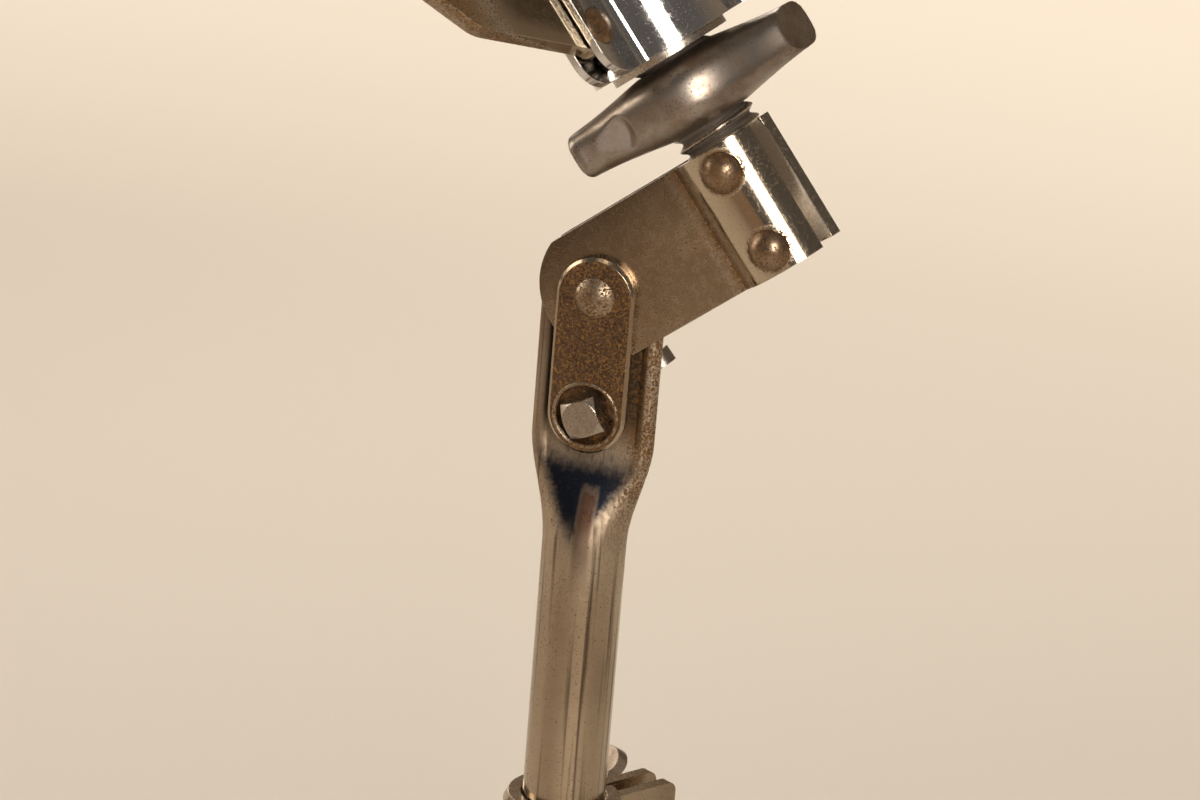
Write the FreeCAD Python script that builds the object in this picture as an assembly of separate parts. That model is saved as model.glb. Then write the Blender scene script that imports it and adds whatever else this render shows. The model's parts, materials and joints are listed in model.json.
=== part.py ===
import FreeCAD, Part
import math
import os

# Snare drum stand. Millimetres, +Z up: the tube's axis is Z and the floor is at zero.
# The tilter's plates face -Y, and its bracket reaches towards +X.

V = FreeCAD.Vector
ORIGIN = V(0, 0, 0)
X_DIR = V(1, 0, 0)
Y_DIR = V(0, 1, 0)
Z_DIR = V(0, 0, 1)
FULL_TURN = 360.0
HALF_TURN = 180.0

# Fits
RUN_CLEAR = 0.06        # radial room round what turns or slides in a bore
SEAT_CLEAR = 0.02       # room round what is fixed in a bore
FACE_CLEAR = 0.05       # room between flat faces that slide on each other
OPEN_CLEAR = 0.4        # room round moving parts that only pass each other
OVERRUN = 2.0           # how far every cutting tool runs past the piece

# Height tube and its flattened end
TUBE_D = 15.9
TUBE_WALL = 1.4
PIVOT_HEIGHT = 480.0    # tilt axis above the floor
TUBE_BELOW_PIVOT = 396.0
TONGUE_WIDTH = 23.8
TONGUE_EDGE_THICK = 4.0  # over the rolled edges
TONGUE_WEB_THICK = 2.8   # the two walls pressed together
TONGUE_BELOW_PIVOT = 28.2
NECK_LENGTH = 20.8
WEB_SHARE = 0.72        # half the web's width over half the tongue's
WEB_DISH = 0.04         # how far the web's middle is dished
NECK_ARC_ANGLE = 40.0   # half the arc of round tube that becomes the web
NECK_STEPS = 7
CAVITY_END_SHARE = 0.6  # how far up the neck the walls meet

# Link plates beside the pivot
PLATE_WIDTH = 15.0
PLATE_THICK = 2.0
PLATE_SPAN = 22.6       # pivot to bolt
PLATE_BEVEL = 0.6
CUP_WALL = 0.9
CUP_FLOOR = 1.3
RECESS_D = 11.3
PIVOT_SHANK_D = 6.0
PIVOT_HEAD_D = 7.8
PIVOT_HEAD_HIGH = 1.5

# Tilt bolt
BOLT_D = 6.0
BOLT_HEAD_WIDTH = 6.8   # a square head for a drum key
BOLT_HEAD_HIGH = 6.6
BOLT_HEAD_TURN = 23.0
HEAD_CORNER_DROP = 1.5  # how far the turned chamfer runs down the corners
WASHER_THICK = 1.0
WASHER_EDGE = 0.5       # room round a washer in its recess
BOLT_PAST_NUT = 1.5

# Small wing nuts
WING_SPAN = 26.0
WING_THICK = 3.0
NUT_BOSS_D = 9.6
NUT_BOSS_HIGH = 9.0
WING_LIFT = 5.4         # height where a wing leaves the boss
WING_TOP = 12.5
WING_OUTER_SHARES = [(0.62, 0.62), (1.0, 0.8), (0.86, 1.0)]
BOSS_TOP_SHARE = 0.86   # the boss's radius at its top
TILT_NUT_TURN = -41.0
CLAMP_NUT_TURN = -57.0

# Tilting bracket: two sheet cheeks that clasp the post
TILT_ANGLE = 38.0       # the bracket's rise above level, as photographed
CHEEK_THICK = 2.0
STRAP_WIDTH = 25.4
CROWN_REACH = 10.9      # the rounded end, beyond the pivot
CROWN_CORNER = 2.4      # the corners of that end, beyond the pivot
POST_OFFSET = 35.1      # pivot to the post's axis
RAMP_ANGLE = 50.0       # the crease's slope
CLASP_END_ANGLE = 52.0  # how far each cheek wraps past the crest
CROSS_RIVET_D = 5.0
CROSS_RIVET_HEAD_D = 7.6
CROSS_RIVET_HEAD_HIGH = 2.2
CROSS_RIVET_SPACING = 16.2

# Threaded post, its cap and the basket nut
POST_D = 15.9
POST_FOOT_INSET = 1.0   # the post's foot inside the clasp
NUT_GAP = 3.4           # bare thread between bracket and nut
BASKET_NUT_HIGH = 14.4
BASKET_NUT_BOSS_D = 21.0
BASKET_NUT_SPAN = 51.0
BASKET_NUT_BODY = 26.0  # width of the body at its middle
WING_SECTION_SHARES = [(1.0, 0.34, 0.46), (0.95, 0.4, 0.54), (0.72, 0.52, 0.64), (0.46, 0.76, 0.82),
                       (0.22, 0.96, 0.97), (0.0, 1.0, 1.0)]
SECTION_ROUND_SHARE = 0.86  # the rounding of a section's corners over half its height
FACET_REACH_SHARE = 0.66  # the thumb facet's place along the wing
FACET_DEPTH = 0.9
FACET_TURN = 22.0
FACET_WIDTH = 9.0
TIP_SLANT = 30.0        # the slant of each wing's end
BASKET_NUT_TURN = 21.0
BOSS_BEVEL_SHARE = 0.5   # of the boss's wall
THRUST_THICK = 1.4
THRUST_EDGE = 3.6       # the thrust washer's width
HUB_FLOOR_THICK = 2.0

# Basket hub
HUB_D = 30.0
HUB_SHEET = 1.5
HUB_HIGH = 27.0
FLANGE_REACH = 9.4      # how far the flanges stand out of the hub
FLANGE_CORNER = 6.0
HUB_BEND = 2.4          # the bend from the hub's shell to a flange
ARM_PIVOT_OUT = 5.6     # arm pivot beyond the hub's surface
ARM_PIVOT_HIGH = 9.7
ARM_START_ANGLE = 258.0
ARM_COUNT = 3
ARM_RIVET_D = 4.6
ARM_RIVET_HEAD_D = 7.3
ARM_RIVET_HEAD_HIGH = 1.3

# Basket arms
ARM_THICK = 3.0
ARM_TAIL = 8.0
TAIL_NOSE_R = 1.6
ARM_EYE_R = 4.4
KNEE_OUT = 28.3         # from the pivot to the knee on the arm's lower edge
KNEE_RISE = 9.5
KNEE_ROUND = 9.0
ARM_RUN = 165.0         # from the knee to the finger
ARM_SLOPE = 54.0        # slope beyond the knee
ARM_DEPTH = 15.0        # depth at the knee
ARM_TIP_DEPTH = 9.0
FINGER_LENGTH = 34.0
FINGER_ANGLE = 116.0
FINGER_WIDTH = 8.0
PAD_WALL = 2.6
PAD_ROUND_SHARE = 0.8   # the pad's rounded edges over its wall
PAD_COVER = 26.0        # how much of the finger the pad covers

# Cap at the post's top, which holds the arms' tails
CAP_FLANGE = 2.0
CAP_GROOVE_ROOM = 0.6   # above and below a tail's nose
CAP_WALL = 2.0
CAP_RIM_ROOM = 0.8      # between the cap's flange and the hub

# Height clamp
BASE_TUBE_D = 19.05
CLAMP_BAND = 2.0
CLAMP_HIGH = 26.0
CLAMP_BELOW_PIVOT = 101.0  # the clamp's top
CLAMP_LIP = 1.6
CLAMP_GAP = 3.6
CLAMP_EAR_THICK = 2.2
CLAMP_EAR_LENGTH = 14.0
CLAMP_BOLT_OUT = 8.0    # bolt beyond the band
CLAMP_ANGLE = 58.0
CLAMP_SLOT_WIDTH = 2.4
CLAMP_SLOT_DEPTH = 34.0
HEX_SIDES = 6
HEX_WIDTH = 10.0
HEX_HIGH = 4.2

# Base hub and legs
HUB_FOOT_Z = 20.0
BARREL_D = 30.0
BARREL_HIGH = 36.0
BARREL_FLOOR = 4.0
BARREL_NECK_D = 24.0
BARREL_NECK_SHARE = 0.72  # where the barrel starts to taper
LEG_COUNT = 3
LEG_START_ANGLE = 30.0
LEG_HINGE_OUT = 9.0     # hinge pin beyond the barrel
LEG_HINGE_Z = 34.0
LEG_PIN_D = 5.0
LEG_PIN_HEAD = 1.6
LEG_LUG_R = 3.3
LEG_HEEL = 9.0          # the lug's stop, beyond the pin
LEG_WIDTH = 18.0
LEG_TIP_WIDTH = 14.0
LEG_DEPTH = 11.0
LEG_TIP_DEPTH = 8.6
LEG_SHEET = 1.5
LEG_EAR_R = 5.0
LEG_TOP = 5.0           # the leg's top above the pin
LEG_EDGE_ROUND = 2.4
WEB_START = 5.0         # where the leg's top sheet begins, beyond the pin
FOOT_REACH = 236.0
FOOT_LENGTH = 30.0
FOOT_WALL = 3.0
FOOT_SOLE = 5.0
FOOT_TOE = 4.0          # rubber beyond the leg's end
FOOT_CORNER = 4.0

# Sizes that follow from those above
TUBE_R = TUBE_D / 2
POST_R = POST_D / 2
EDGE_Y = TONGUE_EDGE_THICK / 2
WEB_Y = TONGUE_WEB_THICK / 2
CHEEK_IN_Y = EDGE_Y + FACE_CLEAR
CHEEK_OUT_Y = CHEEK_IN_Y + CHEEK_THICK
PLATE_IN_Y = CHEEK_OUT_Y + FACE_CLEAR
PLATE_OUT_Y = PLATE_IN_Y + PLATE_THICK
CUP_FLOOR_Y = WEB_Y + CUP_FLOOR
CLASP_IN_R = POST_R + SEAT_CLEAR
CLASP_OUT_R = CLASP_IN_R + CHEEK_THICK
STRAP_HALF = STRAP_WIDTH / 2
NUT_FOOT = STRAP_HALF + NUT_GAP
THRUST_FOOT = NUT_FOOT + BASKET_NUT_HIGH + FACE_CLEAR
HUB_FOOT = THRUST_FOOT + THRUST_THICK + FACE_CLEAR
HUB_R = HUB_D / 2
HUB_IN_R = HUB_R - HUB_SHEET
ARM_PIVOT_R = HUB_R + ARM_PIVOT_OUT
ARM_SLOT_HALF = ARM_THICK / 2 + OPEN_CLEAR
PIVOT_UP = HUB_FOOT + ARM_PIVOT_HIGH
GROOVE_HALF = TAIL_NOSE_R + CAP_GROOVE_ROOM
CAP_OUT_R = HUB_IN_R - CAP_RIM_ROOM
POST_TOP = PIVOT_UP + GROOVE_HALF + CAP_FLANGE
CLAMP_TOP_Z = PIVOT_HEIGHT - CLAMP_BELOW_PIVOT
BASE_TUBE_R = BASE_TUBE_D / 2
BASE_BORE_R = TUBE_R + RUN_CLEAR
BASE_TUBE_TOP = CLAMP_TOP_Z - CLAMP_LIP
BAND_IN_R = BASE_TUBE_R + RUN_CLEAR
BAND_OUT_R = BAND_IN_R + CLAMP_BAND
CLAMP_BOLT_R = BAND_OUT_R + CLAMP_BOLT_OUT
CLAMP_EAR_Y = CLAMP_GAP / 2 + CLAMP_EAR_THICK
CLAMP_MID_Z = CLAMP_TOP_Z - CLAMP_HIGH / 2
BARREL_R = BARREL_D / 2
LEG_HINGE_R = BARREL_R + LEG_HINGE_OUT
LEG_END = FOOT_REACH - LEG_HINGE_R + FOOT_LENGTH / 2 - FOOT_TOE
LEG_SLOPE = math.degrees(math.asin((LEG_HINGE_Z - FOOT_SOLE - LEG_TIP_DEPTH + LEG_TOP) / LEG_END))


def block(low, high):
    """A box between two corners."""
    return Part.makeBox(high.x - low.x, high.y - low.y, high.z - low.z, low)


def line(start, end):
    return Part.LineSegment(start, end).toShape()


def arc(start, middle, end):
    return Part.Arc(start, middle, end).toShape()


def filled(edges):
    """The flat face inside a closed run of edges."""
    return Part.Face(Part.Wire(edges))


def polygon(points):
    return Part.Face(Part.makePolygon(points + [points[0]]))


def turned(points):
    """A solid of revolution about Z, from (radius, height) points."""
    profile = polygon([V(radius, 0, height) for radius, height in points])
    return profile.revolve(ORIGIN, Z_DIR, FULL_TURN)


def dome(radius, height):
    """A rivet's low dome, standing on the XY plane."""
    sphere_r = (radius ** 2 + height ** 2) / (2 * height)
    half_angle = math.asin(radius / sphere_r) / 2
    middle = V(sphere_r * math.sin(half_angle), 0, sphere_r * math.cos(half_angle) - sphere_r + height)
    top = V(0, 0, height)
    rim = V(radius, 0, 0)
    profile = filled([arc(top, middle, rim), line(rim, ORIGIN), line(ORIGIN, top)])
    return profile.revolve(ORIGIN, Z_DIR, FULL_TURN)


def towards_y(shape, y, sign):
    """Turn a piece that stands on XY so that it points along Y from the given y."""
    return shape.rotated(ORIGIN, X_DIR, -sign * HALF_TURN / 2).translated(V(0, y, 0))


def at_pivot(shape):
    return shape.translated(V(0, 0, PIVOT_HEIGHT))


def tilted(shape):
    """From the bracket's level frame, with the pivot at the origin, to its place."""
    return at_pivot(shape.rotated(ORIGIN, Y_DIR, -TILT_ANGLE))


def on_post(shape):
    """From a frame on the post's axis to the bracket's tilted place."""
    return tilted(shape.translated(V(POST_OFFSET, 0, 0)))


def around(shape, angle):
    return shape.rotated(ORIGIN, Z_DIR, angle)


def mirrored_y(shape):
    return shape.mirror(ORIGIN, Y_DIR)


def tube_section(share, height, inset):
    """The tube's outline: round at share 0, and at 1 a flat web between rolled edges."""
    ease = share * share * (3 - 2 * share)
    start = math.radians(NECK_ARC_ANGLE)
    half_width = TUBE_R + (TONGUE_WIDTH / 2 - TUBE_R) * ease - inset
    join_x = TUBE_R * math.sin(start) * (1 - ease) + TONGUE_WIDTH / 2 * WEB_SHARE * ease
    join_y = TUBE_R * math.cos(start) * (1 - ease) + WEB_Y * ease
    mid_y = TUBE_R * (1 - ease) + (WEB_Y - WEB_DISH) * ease - inset
    shrink = (TUBE_R - inset) / TUBE_R
    join_x = join_x * shrink
    join_y = join_y - inset * join_y / (TUBE_R * (1 - ease) + WEB_Y * ease)
    right = arc(V(join_x, join_y, height), V(half_width, 0, height), V(join_x, -join_y, height))
    front = arc(V(join_x, -join_y, height), V(0, -mid_y, height), V(-join_x, -join_y, height))
    left = arc(V(-join_x, -join_y, height), V(-half_width, 0, height), V(-join_x, join_y, height))
    back = arc(V(-join_x, join_y, height), V(0, mid_y, height), V(join_x, join_y, height))
    return Part.Wire([right, front, left, back])


def tube_loft(end_share, inset):
    """The neck, from the round tube up to a share of the way to the flat tongue."""
    foot = -TONGUE_BELOW_PIVOT - NECK_LENGTH
    wires = []
    for step in range(NECK_STEPS + 1):
        share = end_share * step / NECK_STEPS
        wires.append(tube_section(share, foot + NECK_LENGTH * share, inset))
    return Part.makeLoft(wires, True, False)


def height_tube():
    """The upper tube: round below, pressed flat at its top round the tilt pivot."""
    neck_foot = -TONGUE_BELOW_PIVOT - NECK_LENGTH
    round_length = TUBE_BELOW_PIVOT + neck_foot
    tube = Part.makeCylinder(TUBE_R, round_length, V(0, 0, -TUBE_BELOW_PIVOT))
    neck = tube_loft(1, 0)
    tongue_face = Part.Face(tube_section(1, -TONGUE_BELOW_PIVOT, 0))
    tongue = tongue_face.extrude(V(0, 0, TONGUE_BELOW_PIVOT + TONGUE_WIDTH / 2))
    half = TONGUE_WIDTH / 2 + OVERRUN
    lower = block(V(-half, -half, -TONGUE_BELOW_PIVOT - OVERRUN), V(half, half, 0))
    crown = Part.makeCylinder(TONGUE_WIDTH / 2, 2 * half, V(0, -half, 0), Y_DIR)
    tongue = tongue.common(lower.fuse(crown))
    solid = tube.fuse([neck, tongue]).removeSplitter()
    bore = Part.makeCylinder(TUBE_R - TUBE_WALL, round_length + OVERRUN,
                             V(0, 0, -TUBE_BELOW_PIVOT - OVERRUN))
    solid = solid.cut(bore.fuse(tube_loft(CAVITY_END_SHARE, TUBE_WALL)))
    for radius, height in ((PIVOT_SHANK_D / 2 + SEAT_CLEAR, 0), (BOLT_D / 2 + SEAT_CLEAR, -PLATE_SPAN)):
        solid = solid.cut(Part.makeCylinder(radius, 2 * half, V(0, -half, height), Y_DIR))
    return at_pivot(solid)


def link_plate():
    """The near link plate: a round-ended bar with a bevelled edge and a pressed cup for the bolt."""
    radius = PLATE_WIDTH / 2
    top = arc(V(-radius, -PLATE_IN_Y, 0), V(0, -PLATE_IN_Y, radius), V(radius, -PLATE_IN_Y, 0))
    foot = arc(V(radius, -PLATE_IN_Y, -PLATE_SPAN), V(0, -PLATE_IN_Y, -PLATE_SPAN - radius),
               V(-radius, -PLATE_IN_Y, -PLATE_SPAN))
    sides = [line(V(side * radius, -PLATE_IN_Y, 0), V(side * radius, -PLATE_IN_Y, -PLATE_SPAN))
             for side in (1, -1)]
    plate = filled([top, sides[0], foot, sides[1]]).extrude(V(0, -PLATE_THICK, 0))
    front = [edge for edge in plate.Edges if abs(edge.CenterOfMass.y + PLATE_OUT_Y) < FACE_CLEAR]
    plate = plate.makeChamfer(PLATE_BEVEL, front)
    bolt_at = V(0, 0, -PLATE_SPAN)
    cup_r = RECESS_D / 2 + CUP_WALL
    cup = Part.makeCylinder(cup_r, PLATE_IN_Y - WEB_Y, bolt_at - V(0, PLATE_IN_Y, 0), Y_DIR)
    recess = Part.makeCylinder(RECESS_D / 2, PLATE_OUT_Y - CUP_FLOOR_Y + OVERRUN,
                               bolt_at - V(0, PLATE_OUT_Y + OVERRUN, 0), Y_DIR)
    reach = PLATE_OUT_Y + OVERRUN
    bolt_hole = Part.makeCylinder(BOLT_D / 2 + SEAT_CLEAR, reach, bolt_at - V(0, reach, 0), Y_DIR)
    rivet_hole = Part.makeCylinder(PIVOT_SHANK_D / 2 + SEAT_CLEAR, reach, V(0, -reach, 0), Y_DIR)
    return at_pivot(plate.fuse(cup).cut(recess).cut(bolt_hole).cut(rivet_hole))


def pivot_rivet():
    """The rivet that the bracket tilts on, domed at both ends."""
    rivet = Part.makeCylinder(PIVOT_SHANK_D / 2, 2 * PLATE_OUT_Y, V(0, -PLATE_OUT_Y, 0), Y_DIR)
    for side in (1, -1):
        rivet = rivet.fuse(towards_y(dome(PIVOT_HEAD_D / 2, PIVOT_HEAD_HIGH), side * PLATE_OUT_Y, side))
    return at_pivot(rivet)


def tilt_bolt():
    """The bolt with a square head, sunk in the near plate's cup."""
    half = BOLT_HEAD_WIDTH / 2
    head = block(V(-half, -half, 0), V(half, half, BOLT_HEAD_HIGH)).rotated(ORIGIN, Z_DIR, BOLT_HEAD_TURN)
    corner = half * math.sqrt(2)
    slope = (corner - half) / HEAD_CORNER_DROP
    cone = Part.makeCone(half + slope * BOLT_HEAD_HIGH, half, BOLT_HEAD_HIGH, ORIGIN, Z_DIR)
    head = towards_y(head.common(cone), -CUP_FLOOR_Y, -1)
    length = 2 * CUP_FLOOR_Y + WASHER_THICK + NUT_BOSS_HIGH + BOLT_PAST_NUT
    shank = Part.makeCylinder(BOLT_D / 2, length, V(0, -CUP_FLOOR_Y, 0), Y_DIR)
    return at_pivot(head.fuse(shank).removeSplitter().translated(V(0, 0, -PLATE_SPAN)))


def washer(outer_r, bore_r, thick):
    return turned([(bore_r, 0), (outer_r, 0), (outer_r, thick), (bore_r, thick)])


def tilt_washer():
    ring = washer(RECESS_D / 2 - WASHER_EDGE, BOLT_D / 2 + SEAT_CLEAR, WASHER_THICK)
    return at_pivot(towards_y(ring, CUP_FLOOR_Y, 1).translated(V(0, 0, -PLATE_SPAN)))


def small_wing_nut():
    """A pressed wing nut on its bolt's axis, with its foot on the XY plane."""
    boss_r = NUT_BOSS_D / 2
    bore_r = BOLT_D / 2 + RUN_CLEAR
    boss = turned([(0, 0), (boss_r, 0), (boss_r * BOSS_TOP_SHARE, NUT_BOSS_HIGH), (0, NUT_BOSS_HIGH)])
    reach = WING_SPAN / 2
    lower, tip, upper = [V(out * reach, -WING_THICK / 2, up * WING_TOP) for out, up in WING_OUTER_SHARES]
    root = V(0, -WING_THICK / 2, WING_LIFT)
    crest = V(0, -WING_THICK / 2, NUT_BOSS_HIGH)
    wing_face = filled([line(root, lower), arc(lower, tip, upper), line(upper, crest), line(crest, root)])
    wing = wing_face.extrude(V(0, WING_THICK, 0))
    nut = boss.fuse([wing, around(wing, HALF_TURN)]).removeSplitter()
    return nut.cut(Part.makeCylinder(bore_r, WING_TOP + 2 * OVERRUN, V(0, 0, -OVERRUN)))


def tilt_wing_nut():
    nut = towards_y(around(small_wing_nut(), TILT_NUT_TURN), CUP_FLOOR_Y + WASHER_THICK + FACE_CLEAR, 1)
    return at_pivot(nut.translated(V(0, 0, -PLATE_SPAN)))


def clasp_point(radius, angle):
    """A point of the clasp's arc, by its angle from the crest towards the open end."""
    turn = math.radians(angle)
    return V(POST_OFFSET + radius * math.sin(turn), -radius * math.cos(turn), -STRAP_HALF)


def bracket_cheek():
    """The near cheek: a flat strap, creased outwards, that wraps half the post."""
    slope = math.tan(math.radians(RAMP_ANGLE))
    outer_ramp = clasp_point(CLASP_OUT_R, -RAMP_ANGLE)
    inner_ramp = clasp_point(CLASP_IN_R, -RAMP_ANGLE)
    start = -CROWN_REACH - OVERRUN
    outer_crease = V(outer_ramp.x + (outer_ramp.y + CHEEK_OUT_Y) / slope, -CHEEK_OUT_Y, -STRAP_HALF)
    inner_crease = V(inner_ramp.x + (inner_ramp.y + CHEEK_IN_Y) / slope, -CHEEK_IN_Y, -STRAP_HALF)
    outer_start = V(start, -CHEEK_OUT_Y, -STRAP_HALF)
    inner_start = V(start, -CHEEK_IN_Y, -STRAP_HALF)
    outer_end = clasp_point(CLASP_OUT_R, CLASP_END_ANGLE)
    inner_end = clasp_point(CLASP_IN_R, CLASP_END_ANGLE)
    section = filled([
        line(outer_start, outer_crease),
        line(outer_crease, outer_ramp),
        arc(outer_ramp, clasp_point(CLASP_OUT_R, 0), outer_end),
        line(outer_end, inner_end),
        arc(inner_end, clasp_point(CLASP_IN_R, 0), inner_ramp),
        line(inner_ramp, inner_crease),
        line(inner_crease, inner_start),
        line(inner_start, outer_start),
    ])
    cheek = section.extrude(V(0, 0, STRAP_WIDTH))
    far_left = start - OVERRUN
    tall = STRAP_HALF + OVERRUN
    deep = -CLASP_OUT_R
    upper = V(-CROWN_CORNER, deep, STRAP_HALF)
    lower = V(-CROWN_CORNER, deep, -STRAP_HALF)
    trim = filled([
        arc(lower, V(-CROWN_REACH, deep, 0), upper),
        line(upper, V(-CROWN_CORNER, deep, tall)),
        line(V(-CROWN_CORNER, deep, tall), V(far_left, deep, tall)),
        line(V(far_left, deep, tall), V(far_left, deep, -tall)),
        line(V(far_left, deep, -tall), V(-CROWN_CORNER, deep, -tall)),
        line(V(-CROWN_CORNER, deep, -tall), lower),
    ]).extrude(V(0, CLASP_OUT_R, 0))
    cheek = cheek.cut(trim)
    reach = CLASP_OUT_R + OVERRUN
    cheek = cheek.cut(Part.makeCylinder(PIVOT_SHANK_D / 2 + RUN_CLEAR, reach, V(0, -reach, 0), Y_DIR))
    for side in (1, -1):
        at = V(POST_OFFSET, -reach, side * CROSS_RIVET_SPACING / 2)
        cheek = cheek.cut(Part.makeCylinder(CROSS_RIVET_D / 2 + SEAT_CLEAR, reach, at, Y_DIR))
    return cheek


def bracket_rivets():
    """Two rivets through the clasp and the post, with heads that sit on the round clasp."""
    head_r = CROSS_RIVET_HEAD_D / 2
    seat = math.sqrt(CLASP_OUT_R ** 2 - head_r ** 2)
    clasp = Part.makeCylinder(CLASP_OUT_R + SEAT_CLEAR, STRAP_WIDTH + 2 * OVERRUN,
                              V(0, 0, -STRAP_HALF - OVERRUN))
    half = CLASP_OUT_R + CROSS_RIVET_HEAD_HIGH / 2
    rivets = []
    for side in (1, -1):
        up = V(0, 0, side * CROSS_RIVET_SPACING / 2)
        rivet = Part.makeCylinder(CROSS_RIVET_D / 2, 2 * half, up - V(0, half, 0), Y_DIR)
        for face in (1, -1):
            skirt = Part.makeCylinder(head_r, CLASP_OUT_R - seat, V(0, 0, seat))
            head = skirt.fuse(dome(head_r, CROSS_RIVET_HEAD_HIGH).translated(V(0, 0, CLASP_OUT_R)))
            rivet = rivet.fuse(towards_y(head, 0, face).translated(up).cut(clasp))
        rivets.append(rivet.translated(V(POST_OFFSET, 0, 0)))
    return Part.makeCompound(rivets)


def threaded_post():
    """The post, as a plain rod at the thread's outer diameter."""
    foot = -STRAP_HALF + POST_FOOT_INSET
    post = Part.makeCylinder(POST_R, POST_TOP - foot, V(0, 0, foot))
    post = post.makeChamfer(POST_FOOT_INSET, [edge for edge in post.Edges if len(edge.Vertexes) == 1])
    for side in (1, -1):
        at = V(0, -POST_D, side * CROSS_RIVET_SPACING / 2)
        post = post.cut(Part.makeCylinder(CROSS_RIVET_D / 2 + SEAT_CLEAR, 2 * POST_D, at, Y_DIR))
    return on_post(post)


def post_cap():
    """The grooved cap at the post's top, which keeps the arms' tails at one height."""
    bore = POST_R + SEAT_CLEAR
    groove = bore + CAP_WALL
    foot = PIVOT_UP - GROOVE_HALF - CAP_FLANGE
    low = PIVOT_UP - GROOVE_HALF
    high = PIVOT_UP + GROOVE_HALF
    top = high + CAP_FLANGE
    return on_post(turned([(bore, foot), (CAP_OUT_R, foot), (CAP_OUT_R, low), (groove, low), (groove, high),
                           (CAP_OUT_R, high), (CAP_OUT_R, top), (groove, top + CAP_WALL),
                           (0, top + CAP_WALL), (0, POST_TOP + SEAT_CLEAR), (bore, POST_TOP + SEAT_CLEAR)]))


def wing_section(share, width_share, high_share, side):
    """One section of the cast nut's body, across its length: a rectangle with large round corners."""
    wide = BASKET_NUT_BODY / 2 * width_share
    tall = BASKET_NUT_HIGH / 2 * high_share
    bend = tall * SECTION_ROUND_SHARE
    sink = bend * (1 - math.sqrt(0.5))
    at = V(side * share * BASKET_NUT_SPAN / 2, 0, BASKET_NUT_HIGH / 2)
    corners = []
    for y_sign, z_sign in ((1, 1), (-1, 1), (-1, -1), (1, -1)):
        beside = at + V(0, y_sign * wide, z_sign * (tall - bend))
        middle = at + V(0, y_sign * (wide - sink), z_sign * (tall - sink))
        level = at + V(0, y_sign * (wide - bend), z_sign * tall)
        corners.append((beside, middle, level) if y_sign == z_sign else (level, middle, beside))
    edges = []
    for index, (first, middle, last) in enumerate(corners):
        edges.append(line(corners[index - 1][2], first))
        edges.append(arc(first, middle, last))
    return Part.Wire(edges)


def basket_wing_nut():
    """The cast nut under the basket: a spindle with two thick wings, a boss and a facet on each wing."""
    wires = [wing_section(*shares, -1) for shares in WING_SECTION_SHARES]
    wires += [wing_section(*shares, 1) for shares in reversed(WING_SECTION_SHARES[:-1])]
    body = Part.makeLoft(wires, True, False)
    boss = Part.makeCylinder(BASKET_NUT_BOSS_D / 2, BASKET_NUT_HIGH)
    rim = BASKET_NUT_BOSS_D / 2 - POST_R
    boss = boss.makeChamfer(rim * BOSS_BEVEL_SHARE, [edge for edge in boss.Edges if len(edge.Vertexes) == 1])
    nut = body.fuse(boss).removeSplitter()
    reach = BASKET_NUT_SPAN / 2 * FACET_REACH_SHARE
    thumb = block(V(-FACET_WIDTH, -BASKET_NUT_BODY, 0), V(FACET_WIDTH, 0, BASKET_NUT_HIGH))
    thumb = thumb.rotated(ORIGIN, Z_DIR, -FACET_TURN)
    end = block(V(0, -BASKET_NUT_SPAN, 0), V(BASKET_NUT_SPAN, BASKET_NUT_SPAN, BASKET_NUT_HIGH))
    end = end.rotated(ORIGIN, Z_DIR, -TIP_SLANT)
    tip = V(BASKET_NUT_SPAN / 2, BASKET_NUT_BODY / 2 * WING_SECTION_SHARES[0][1], 0)
    for side in (0, 1):
        front = V(-reach, FACET_DEPTH - BASKET_NUT_BODY / 2 * WING_SECTION_SHARES[2][1], 0)
        nut = nut.cut(around(thumb.translated(front), side * HALF_TURN))
        nut = nut.cut(around(end.translated(tip), side * HALF_TURN))
    nut = nut.cut(Part.makeCylinder(POST_R + RUN_CLEAR, BASKET_NUT_HIGH + 2 * OVERRUN, V(0, 0, -OVERRUN)))
    return on_post(around(nut, BASKET_NUT_TURN).translated(V(0, 0, NUT_FOOT)))


def thrust_washer():
    bore = POST_R + RUN_CLEAR
    return on_post(washer(bore + THRUST_EDGE, bore, THRUST_THICK).translated(V(0, 0, THRUST_FOOT)))


def hub_floor():
    """The disc inside the hub's foot, which slides on the post."""
    disc = washer(HUB_IN_R - SEAT_CLEAR, POST_R + RUN_CLEAR, HUB_FLOOR_THICK)
    return on_post(disc.translated(V(0, 0, HUB_FOOT)))


def hub_flange(side):
    """One radial flange of a hub panel, for an arm along +X, with a rounded lower corner."""
    inner = HUB_R - HUB_SHEET
    outer = HUB_R + FLANGE_REACH
    face_y = ARM_SLOT_HALF
    bend = FLANGE_CORNER * (1 - math.sqrt(0.5))
    corners = [V(inner, face_y, 0), V(outer - FLANGE_CORNER, face_y, 0), V(outer, face_y, FLANGE_CORNER),
               V(outer, face_y, HUB_HIGH), V(inner, face_y, HUB_HIGH)]
    edges = [line(corners[0], corners[1]),
             arc(corners[1], V(outer - bend, face_y, bend), corners[2]),
             line(corners[2], corners[3]),
             line(corners[3], corners[4]),
             line(corners[4], corners[0])]
    flange = filled(edges).extrude(V(0, HUB_SHEET, 0))
    at = V(ARM_PIVOT_R, face_y - OVERRUN, ARM_PIVOT_HIGH)
    hole = Part.makeCylinder(ARM_RIVET_D / 2 + SEAT_CLEAR, HUB_SHEET + 2 * OVERRUN, at, Y_DIR)
    flange = flange.cut(hole)
    return flange if side > 0 else mirrored_y(flange)


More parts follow.
